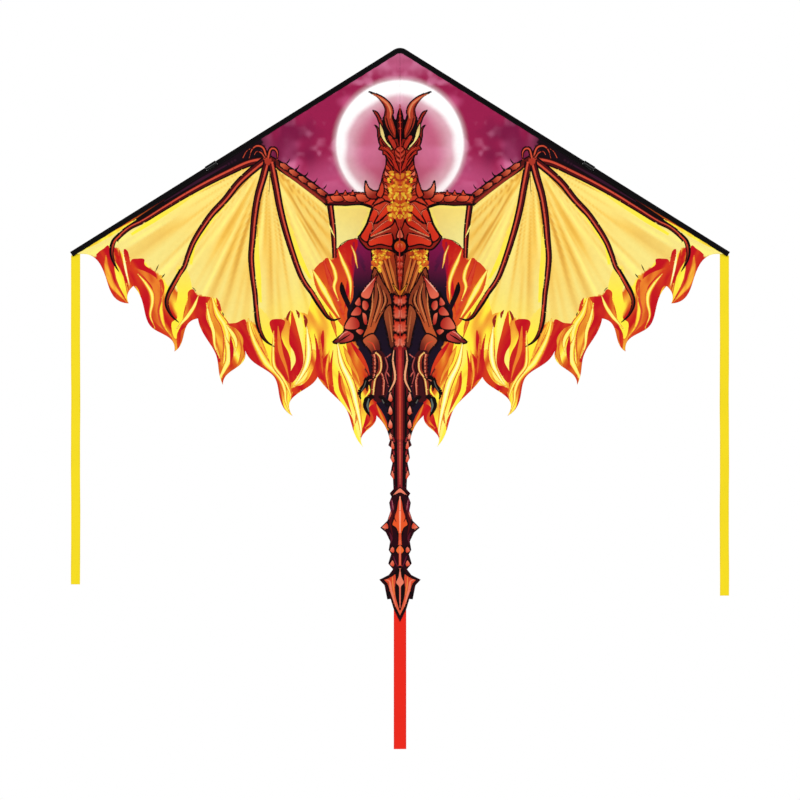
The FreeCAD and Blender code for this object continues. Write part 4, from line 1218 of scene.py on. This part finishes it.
def fill_outline(outline, extra, spacing):
    """Triangles that fill an outline through its own points, the extra points and a grid."""
    fine = []
    for a, b in zip(outline, np.roll(outline, -1, 0)):
        pieces = max(1, int(np.linalg.norm(b - a) / RIM_STEP))
        fine.extend(a + (b - a) * k / pieces for k in range(pieces))
    fine = np.array(fine)
    low, high = fine.min(0), fine.max(0)
    grid = []
    for row, drop in enumerate(np.arange(low[1], high[1], spacing * 0.87)):
        xs = np.arange(low[0], high[0], spacing) + (row % 2) * spacing / 2
        grid.append(np.stack([xs, np.full(len(xs), drop)], 1))
    inner = np.concatenate(grid + [extra])
    inner = inner[inside(fine, inner[:, 0], inner[:, 1])]
    inner = inner[clear_of(fine, inner)]
    points = np.concatenate([fine, inner])
    count = len(fine)
    found = delaunay_2d_cdt([tuple(p) for p in points], [(k, (k + 1) % count) for k in range(count)],
                            [list(range(count))], 1, 0.05)
    return np.array([tuple(p) for p in found[0]]), [tuple(f) for f in found[2]]


def flat_area(points, triangles):
    """Square metres of a flat cloth drawn in millimetres."""
    corners = points[np.array(triangles)]
    first, second = corners[:, 1] - corners[:, 0], corners[:, 2] - corners[:, 0]
    return float(np.abs(first[:, 0] * second[:, 1] - first[:, 1] * second[:, 0]).sum() / 2 * MM * MM)


def printed_sheet(name, front, back, side, shape):
    """A thin printed cloth: a finely divided front, a coarser and paler back, and the rim between."""
    spots, faces, colours, rims = [], [], [], []
    for (points, triangles), lift, strength in ((front, -HALF_CLOTH, 1.0), (back, HALF_CLOTH, 0.88)):
        x, drop = points[:, 0], points[:, 1]
        base = len(spots)
        spots += [place(side, a, b, c + lift) for a, b, c in zip(x, drop, shape(np.abs(x), drop))]
        a, b, c = (spots[base + k] for k in triangles[0])
        if ((b - a).cross(c - a).y > 0) == (lift < 0):
            triangles = [t[::-1] for t in triangles]
        faces += [tuple(k + base for k in t) for t in triangles]
        colours.append(printed(np.abs(x), drop, side) * strength + (1 - strength) * 0.12)
        rims.append({tuple(tuple(np.round(points[k], 3)) for k in way): (way[0] + base, way[1] + base)
                     for way in borders(triangles)})
    rim = [(b, a, rims[1][key[::-1]][1], rims[1][key[::-1]][0]) for key, (a, b) in rims[0].items()]
    return make_piece(name, spots, faces + rim, PRINT_CLOTH, len(faces), np.concatenate(colours))


FRONT_MESH, BACK_MESH, TAIL_MESH, KEEL_MESH = 4.4, 7.0, 4.0, 6.0  # mm between points of a cloth's mesh
FRONT_CELL, BACK_CELL = 1.1, 3.2  # mm: each cell keeps one pair of points of the print's edges

draw_print()
edges = edge_pairs()
crisp, crisp_back = thinned(edges, FRONT_CELL), thinned(edges, BACK_CELL)

# ---- Sail, in two halves that meet at the spine ----

WINDOW_AT = 474.6 - NOSE_RADIUS * math.tan(EDGE_ANGLE) + ARC  # middle of the hook's window along the edge
WINDOW_HALF = 13.3
WINDOW_REACH = 8.4
NOTCH_HALF = 13.2  # the sail's edge is cut back just where the hook grips
NOTCH_REACH = WINDOW_REACH + 0.8
SAIL_TUCK = 5.0  # how deep the sail's edge sits inside its sleeve
HINGE_X = 10.0  # mm from the spine to the line where each wing folds

loop = outline_of("sail_right")
tip_index = int(np.argmax(loop[:, 0]))
forward = loop[(tip_index + 1) % len(loop), 1] > loop[tip_index, 1]
free_edge = loop[tip_index:] if forward else loop[tip_index::-1]
free_edge = free_edge[free_edge[:, 0] > HINGE_X + 1]
top = [leading(s, SAIL_TUCK) for s in np.linspace(0, ARC, 6)]
for s, depth in ((WINDOW_AT - NOTCH_HALF - 0.1, SAIL_TUCK), (WINDOW_AT - NOTCH_HALF, NOTCH_REACH),
                 (WINDOW_AT + NOTCH_HALF, NOTCH_REACH), (WINDOW_AT + NOTCH_HALF + 0.1, SAIL_TUCK),
                 (TIP - 18.0, SAIL_TUCK)):
    top.append(leading(s, depth))
outline = np.concatenate([top, free_edge, [(0.0, SAIL_END)]])
moon = np.array([(r * math.sin(a), MOON_DROP + r * math.cos(a)) for r in np.arange(84, 142, 2.6)
                 for a in np.linspace(0, math.pi, 170)])
front = fill_outline(outline, np.concatenate([crisp, moon]), FRONT_MESH)
back = fill_outline(outline, np.concatenate([crisp_back, moon[::3]]), BACK_MESH)
sails = {}
for label, side in SIDES:
    sails[label] = printed_sheet(f"sail_print_{label}", front, back, side, billow)
    fold_with_wing(sails[label], label, side)
    nodes = [f"sail_{label}"] + (["centre_strip"] if side < 0 else [])
    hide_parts(*nodes)

# ---- Leading edge band: a sleeve folded round each spar, from the rounded nose to the wing tip ----

SLEEVE = 3.4  # radius of the sleeve
FLAT_RISE = 0.95  # half height of the sleeve at the nose, where it holds no spar
OPENING = (14.0, 27.0)  # mm along the edge: from flat to round between these two
LIP_HALF = 0.85
SEAM_DEPTH = 9.9
TACKS = 9  # rows of stitches that close the sleeve at the wing tip
TACK_STEP = 1.6
TACK_START = 16.5
TACK_DEPTHS = (7.6, 11.2)


def band_section(distance):
    """Depths and heights of the folded cloth this far along the edge, from front lip to back lip."""
    rise = FLAT_RISE + (SLEEVE - HALF_CLOTH - FLAT_RISE) * float(ramp(np.array(distance), *OPENING))
    rise *= 1 - 0.8 * float(ramp(np.array(distance), TIP - 5, TIP))
    inner = BAND_WIDTH - 0.1 + 0.22 * math.sin(distance / 7.3) + 0.16 * math.sin(distance / 3.1 + 1)
    pucker = 0.1 * math.sin(distance / 1.35)
    lip = LIP_HALF - HALF_CLOTH + 0.08 * math.sin(distance / 5.2)
    front = [(inner, lip), (SEAM_DEPTH + 0.8, lip + 0.1 + pucker * 0.5), (SEAM_DEPTH, lip - 0.06 - pucker),
             (SEAM_DEPTH - 0.9, lip + 0.12)]
    if abs(distance - WINDOW_AT) < WINDOW_HALF:
        front = [(max(depth, WINDOW_REACH + 0.6), height) for depth, height in front]
        tube = [(WINDOW_REACH + 0.3 * abs(share), lip * share) for share in np.linspace(0.9, -0.9, 15)]
    else:
        tube = []
        for angle in np.radians(np.linspace(14, 346, 15)):
            swell = 1 + 0.03 * math.sin(distance / 11.0 + 3 * angle)
            tube.append((SLEEVE + (SLEEVE - HALF_CLOTH) * math.cos(angle), rise * swell * math.sin(angle)))
    return front + tube + [(depth, -height) for depth, height in front[::-1]]


window = (WINDOW_AT - WINDOW_HALF, WINDOW_AT + WINDOW_HALF)
runs = [[*np.linspace(0, ARC, 7)[:-1], *np.linspace(ARC, window[0] - 0.01, 132)],
        np.linspace(window[0] + 0.01, window[1] - 0.01, 12),
        [*np.linspace(window[1] + 0.01, TIP - 6, 100), TIP - 4, TIP - 2.4, TIP - 1.2, TIP - 0.5, TIP - 0.1]]
for label, side in SIDES:
    grids = [[[place(side, *leading(s, depth), -height) for depth, height in band_section(s)] for s in run]
             for run in runs]
    band = thick_grid(f"leading_edge_band_{label}", grids, 2 * HALF_CLOTH * MM, BLACK_CLOTH)
    fold_with_wing(band, label, side)
    nodes = [f"edge_sleeve_{label}", f"tip_pocket_{label}"] + (["nose_cap"] if side < 0 else [])
    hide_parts(*nodes)

    trim = []
    for name, y, up in (("front", -LIP_HALF, FRONT), ("back", LIP_HALF, BACK)):
        seam = [place(side, *leading(s, SEAM_DEPTH), y) for s in np.arange(6, TIP - 14, 4.0)]
        trim.append(stitches(f"band_seam_{name}_{label}", [seam], up, BLACK_THREAD))
    tacks = [[place(side, *leading(TIP - TACK_START + k * TACK_STEP, depth), -LIP_HALF - 0.2)
              for depth in TACK_DEPTHS] for k in range(TACKS)]
    trim.append(stitches(f"tip_tack_{label}", tacks, FRONT, BLACK_THREAD, length=3.2, gap=0.2, tilt=0.3))
    for piece in trim:
        fold_with_wing(piece, label, side)
    section_length(band_section(TIP / 4))
    flat_area(*front)

# ---- Dragon's tail below the sail ----

HINGE_HALF = 4  # mm above and below a sewn hinge

loop = outline_of("dragon_tail_strip")
loop[:, 1] = np.where(loop[:, 1] < loop[:, 1].min() + 0.5, SAIL_END - 0.4, loop[:, 1])
crisp_tail = crisp[crisp[:, 1] > SAIL_END - 2]
front = fill_outline(loop, np.concatenate([crisp_tail, crisp_tail * (-1, 1)]), TAIL_MESH)


def flutter(x, drop):
    """How far the tail waves back, in mm."""
    return 0.8 * np.sin((drop - SAIL_END) / 58.0) * ramp(drop, SAIL_END + 10, SAIL_END + 120)


tail = printed_sheet("dragon_tail_print", front, front, 1, flutter)
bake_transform(tail)
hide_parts("dragon_tail_strip")

# ---- Ribbons: woven, with a mesh that is finer at the selvedges, hanging in slow waves ----

RIBBON_DEPTH = 7.8  # of the yellow ribbons' top inside the leading edge
RED_TOP = 1172.0
RIBBON_THICKNESS = 0.42
# Columns of the ribbon's mesh across its width, closer at the selvedges.
RIBBON_COLUMNS = (0.0, 0.035, 0.07, 0.1, *np.linspace(0.2, 0.8, 7), 0.9, 0.93, 0.965, 1.0)


def tip_top(x):
    return edge_drop(x, RIBBON_DEPTH)


def tail_top(x):
    return RED_TOP


def ribbon_bend(drop, share, top, wave):
    """How freely a ribbon hangs here, and how far it waves back in mm, at a share of its width."""
    fall = ramp(np.array(drop), top + 20, top + 260)
    slow = wave * fall * math.sin((drop - top) / 41.0 + 0.5)
    return fall, float(slow + 0.6 * fall * math.sin(drop / 17.0 + share * 2.4))


# side, body above, piece it is sewn to, hinge's x and drop, top, wave, hem's inset, cloth and thread
TIP_RIBBON = (688, 444.0, tip_top, 2.2, 1.5, YELLOW_CLOTH, YELLOW_THREAD)
RIBBONS = {
    "left": (-1, "left_wing", "leading_edge_band_left", *TIP_RIBBON),
    "right": (1, "right_wing", "leading_edge_band_right", *TIP_RIBBON),
    "red": (1, "dragon_tail", tail, 0, 1185.5, tail_top, 1.8, 1.6, RED_CLOTH, RED_THREAD),
}
for label, (side, upper, over, hinge_x, hinge, top_of, wave, inset, cloth, thread) in RIBBONS.items():
    low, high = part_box(f"streamer_{label}")
    edges = sorted(side * v / MM for v in (low.x, high.x))
    y = ((low.y + high.y) / 2 - SAIL_Y) / MM
    bottom = (NOSE_Z - low.z) / MM
    top = max(top_of(x) for x in edges)
    rows = []
    for drop in [*np.arange(top, bottom - 1.0, 5.0), bottom]:
        row = []
        for share in RIBBON_COLUMNS:
            x = edges[0] + (edges[1] - edges[0]) * share
            fall, bend = ribbon_bend(drop, share, top, wave)
            curl = 0.12 * math.cos(share * math.tau * 2) * fall
            row.append(place(side, x, top_of(x) if drop == top else drop, y + bend + float(curl)))
        rows.append(row)
    ribbon = thick_grid(f"ribbon_{label}", [rows], RIBBON_THICKNESS * MM, cloth)
    lines = [[place(side, x, drop, y + ribbon_bend(drop, share, top, wave)[1] - 0.2)
              for drop in np.arange(top + 1, bottom - 1, 3.0)]
             for share, x in enumerate((edges[0] + inset, edges[1] - inset))]
    hem = stitches(f"ribbon_hem_{label}", lines, FRONT, thread, length=3.6, gap=1.6, width=0.5, height=0.22,
                   slot=SLOT_OF[cloth])
    for piece in (ribbon, hem):
        place(side, hinge_x, hinge - HINGE_HALF)
        place(side, hinge_x, hinge + HINGE_HALF)
        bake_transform(piece)
    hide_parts(f"streamer_{label}")
    (bottom - top_of(hinge_x)) * MM
flat_area(*front)

# ---- Keel in front of the sail, with its binding, patches and eyelet. Its mm are from the tow eyelet ----

keel_low, keel_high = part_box("keel_panel")
KEEL_BASE = keel_high.y / MM
KEEL_TOP = keel_high.z / MM
KEEL_BOTTOM = keel_low.z / MM
APEX_RADIUS = -keel_low.y / MM
HOLE_RADIUS = 3.6
KEEL_EDGE = KEEL_BASE + 2.0  # the keel's cloth ends inside its seam
BINDING_WIDTH = 7.0
BINDING_SEAM = 5.6
BINDING_LIP = 0.78
PATCH_RADII = (HOLE_RADIUS, 4.2, 6.0, 8.2, 10.4, 11.6, 12.1, 12.4)
PATCH_SEAMS = (8.4, 11.2)


def touch_angle(z, sense):
    """Where a straight free edge from the base at this height meets the rounded apex."""
    return math.atan2(z, KEEL_BASE) + sense * math.acos(APEX_RADIUS / math.hypot(KEEL_BASE, z))


def on_apex(angle, radius=APEX_RADIUS):
    return radius * math.cos(angle), radius * math.sin(angle)


def on_keel(y, z, x=0.0):
    """A point x mm beside the keel, whose limp middle hangs a little to one side."""
    free = ramp(np.array(y), -10, 40) * (1 - ramp(np.array(y), 90, KEEL_BASE))
    lean = 1.2 * free * np.sin(np.array(z) / 62.0)
    return Vector(((float(lean) + x) * MM, y * MM, z * MM))


high_angle, low_angle = touch_angle(KEEL_TOP, 1), touch_angle(KEEL_BOTTOM, -1) + math.tau
apex = [on_apex(angle) for angle in np.linspace(high_angle, low_angle, 26)]
free_edge = [(KEEL_BASE, KEEL_TOP), *apex, (KEEL_BASE, KEEL_BOTTOM)]
outline = np.array([(KEEL_EDGE, KEEL_TOP), *free_edge, (KEEL_EDGE, KEEL_BOTTOM)])
hole = np.array([on_apex(angle, HOLE_RADIUS) for angle in np.linspace(0, math.tau, 33)[:-1]])
points, triangles = fill_outline(outline, hole, KEEL_MESH)
triangles = [t for t in triangles if np.hypot(*points[list(t)].mean(axis=0)) > HOLE_RADIUS]
count = len(points)
panel_points = [on_keel(y, z, x) for x in (-HALF_CLOTH, HALF_CLOTH) for y, z in points]
rim = [(b, a, a + count, b + count) for a, b in borders(triangles)]
faces = triangles + [tuple(k + count for k in t[::-1]) for t in triangles]
keel = make_piece("keel_cloth", panel_points, faces + rim, KEEL_CLOTH, len(faces))

path = evenly([(0, y, z) for y, z in free_edge], 4.0)[:, 1:]
inward = square_to(np.gradient(path, axis=0))
middle = np.array([KEEL_BASE / 2, (KEEL_TOP + KEEL_BOTTOM) / 2])
inward *= np.sign(((middle - path) * inward).sum(axis=1))[:, None]
rings = []
for k, ((y, z), (ny, nz)) in enumerate(zip(path, inward)):
    fold = BINDING_WIDTH + 0.15 * math.sin(k / 1.9)
    section = [(fold, 0.35), (fold - 0.2, BINDING_LIP), (BINDING_SEAM, 0.68), (3.2, 0.84), (0.6, 0.8),
               (-0.35, 0.55), (-0.6, 0.0)]
    section += [(depth, -height) for depth, height in section[-2::-1]]
    rings += [on_keel(y + ny * depth, z + nz * depth, height) for depth, height in section]
walls, ends = tube_faces(0, len(path), len(section))
binding = make_piece("keel_binding_tape", rings, walls + ends, KEEL_CLOTH, len(walls))

keel_pieces = [binding]
for label, side in SIDES:
    line = [on_keel(*(spot + way * BINDING_SEAM), side * BINDING_LIP * 0.88)
            for spot, way in zip(path, inward)]
    keel_pieces.append(stitches(f"binding_seam_{label}", [line], (side, 0, 0), RED_THREAD))
for label, side in SIDES:
    rows = []
    for radius in PATCH_RADII:
        pinch = 0.06 * math.cos((radius - 10.4) * 2.0) if radius > 8 else 0.0
        rows.append([on_keel(*on_apex(angle, radius), side * (0.5 + pinch))
                     for angle in np.linspace(0, math.tau, 49)])
    patch = thick_grid(f"tow_patch_{label}", [rows], 0.38 * MM, KEEL_CLOTH)
    circles = [[on_keel(*on_apex(angle, radius), side * 0.7) for angle in np.linspace(0, math.tau, 60)]
               for radius in PATCH_SEAMS]
    seam = stitches(f"tow_patch_seam_{label}", circles, (side, 0, 0), RED_THREAD, length=2.0, gap=0.9)
    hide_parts(f"keel_patch_{label}")
    keel_pieces += [patch, seam]
for piece in [keel] + keel_pieces:
    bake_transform(piece)
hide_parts("keel_panel")
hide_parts("keel_binding")
keel_area = sum(a[0] * b[1] - b[0] * a[1] for a, b in zip(outline, np.roll(outline, -1, 0)))
keel_area = abs(keel_area) / 2 * MM * MM

# ---- Pocket behind the sail that holds the spine ----

pocket_low, pocket_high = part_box("spine_pocket")
FLANGE = pocket_high.x / MM
FLANGE_SEAM = 7.4
POCKET_RADIUS = 4.1
SPINE_BACK = (pocket_high.y - SAIL_Y) / MM - POCKET_RADIUS
POCKET_TOP = (NOSE_Z - pocket_high.z) / MM
POCKET_END = (NOSE_Z - pocket_low.z) / MM


def pocket_section(drop):
    """Widths and heights of the cloth over the spine, from one sewn flange to the other."""
    wave = 0.06 * math.sin(drop / 4.7) + 0.05 * math.sin(drop / 1.9)
    edge = FLANGE - 0.2 + 0.15 * math.sin(drop / 9.0)
    flange = [(edge, 0.56), (8.2, 0.62 + wave), (FLANGE_SEAM, 0.52), (6.6, 0.66 + wave), (5.2, 0.9)]
    arc = [((POCKET_RADIUS - HALF_CLOTH) * math.cos(angle),
            SPINE_BACK + (POCKET_RADIUS - HALF_CLOTH) * math.sin(angle) * (1 + wave * 0.2))
           for angle in np.radians(np.linspace(-24, 204, 17))]
    return flange + arc + [(-x, y) for x, y in flange[::-1]]


rows = [[place(1, x, drop, y) for x, y in pocket_section(drop)]
        for drop in np.linspace(POCKET_TOP, POCKET_END, 200)]
pocket = thick_grid("spine_sleeve", [rows], 2 * HALF_CLOTH * MM, BLACK_CLOTH)
lines = [[place(side, FLANGE_SEAM, drop, 0.7) for drop in np.arange(POCKET_TOP + 2, POCKET_END - 2, 4.0)]
         for _, side in SIDES]
pocket_seam = stitches("spine_sleeve_seam", lines, BACK, BLACK_THREAD)
for piece in (pocket, pocket_seam):
    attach(piece, MIDDLE)
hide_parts("spine_pocket")
section_length(pocket_section(0))


def under_thread(points):
    """The print's colour below each point, a little darker."""
    points = np.array([tuple(p) for p in points])
    return printed(np.abs(points[:, 0]) / MM, (NOSE_Z - points[:, 2]) / MM, 1) * 0.9


# rows of thread that show on the sail's front, where the pocket and the keel are sewn on
for label, side in SIDES:
    line = [place(side, FLANGE_SEAM, drop, float(billow(FLANGE_SEAM, drop)) - HALF_CLOTH)
            for drop in np.arange(20, SAIL_END - 4, 4.0)]
    seam = stitches(f"spine_seam_{label}", [line], FRONT, PRINT_CLOTH, width=0.45, height=0.2,
                    colour_at=under_thread)
    fold_with_wing(seam, label, side)

# ---- Studio: pale floor, soft light all round and a camera square to the sail ----

FLOOR_Z = CAD_LOW.z - 0.18
VIEW_ANGLE = math.radians(20)
VIEW_HEIGHT = 1.697  # metres of the sail's plane in the frame
VIEW_CENTRE = 0.747  # metres below the nose

bpy.context.scene.view_settings.view_transform = "Standard"
world = bpy.data.worlds.new("studio")
bpy.context.scene.world = world
world.use_nodes = True
world.node_tree.nodes["Background"].inputs["Color"].default_value = (1, 1, 1, 1)
world.node_tree.nodes["Background"].inputs["Strength"].default_value = 1.0

PAPER = cloth_material("floor_paper", "printed_polyester", rgb(244, 243, 240), rough=0.9, sheen=0.0,
                       variation=0.01)
floor = thick_grid("studio_floor", [[[Vector((x, y, FLOOR_Z)) for x in np.linspace(-2.4, 2.4, 13)]
                                     for y in np.linspace(-2.2, 0.5, 9)]], 0.01, PAPER)
del floor["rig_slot"]

for name, where, target, size, power in (("key", (-1.6, -3.6, 1.9), (0, 0.14, -0.3), (2.0, 2.0), 17),
                                         ("fill", (2.2, -3.2, 0.3), (0, 0.14, -0.4), (1.6, 2.4), 6),
                                         ("back", (0.8, 3.4, 1.6), (0, 0.14, -0.3), (2.4, 2.4), 22)):
    light = bpy.data.lights.new(name, "AREA")
    light.shape = "RECTANGLE"
    light.size, light.size_y = size
    light.energy = power
    lamp = bpy.data.objects.new(name, light)
    lamp.location = where
    lamp.rotation_euler = (Vector(target) - Vector(where)).to_track_quat("-Z", "Y").to_euler()
    bpy.context.collection.objects.link(lamp)

camera_data = bpy.data.cameras.new("camera")
camera_data.angle = VIEW_ANGLE
camera = bpy.data.objects.new("camera", camera_data)
camera.location = (0, SAIL_Y - VIEW_HEIGHT / 2 / math.tan(VIEW_ANGLE / 2), NOSE_Z - VIEW_CENTRE)
camera.rotation_euler = (math.pi / 2, 0, 0)
bpy.context.collection.objects.link(camera)
bpy.context.scene.camera = camera
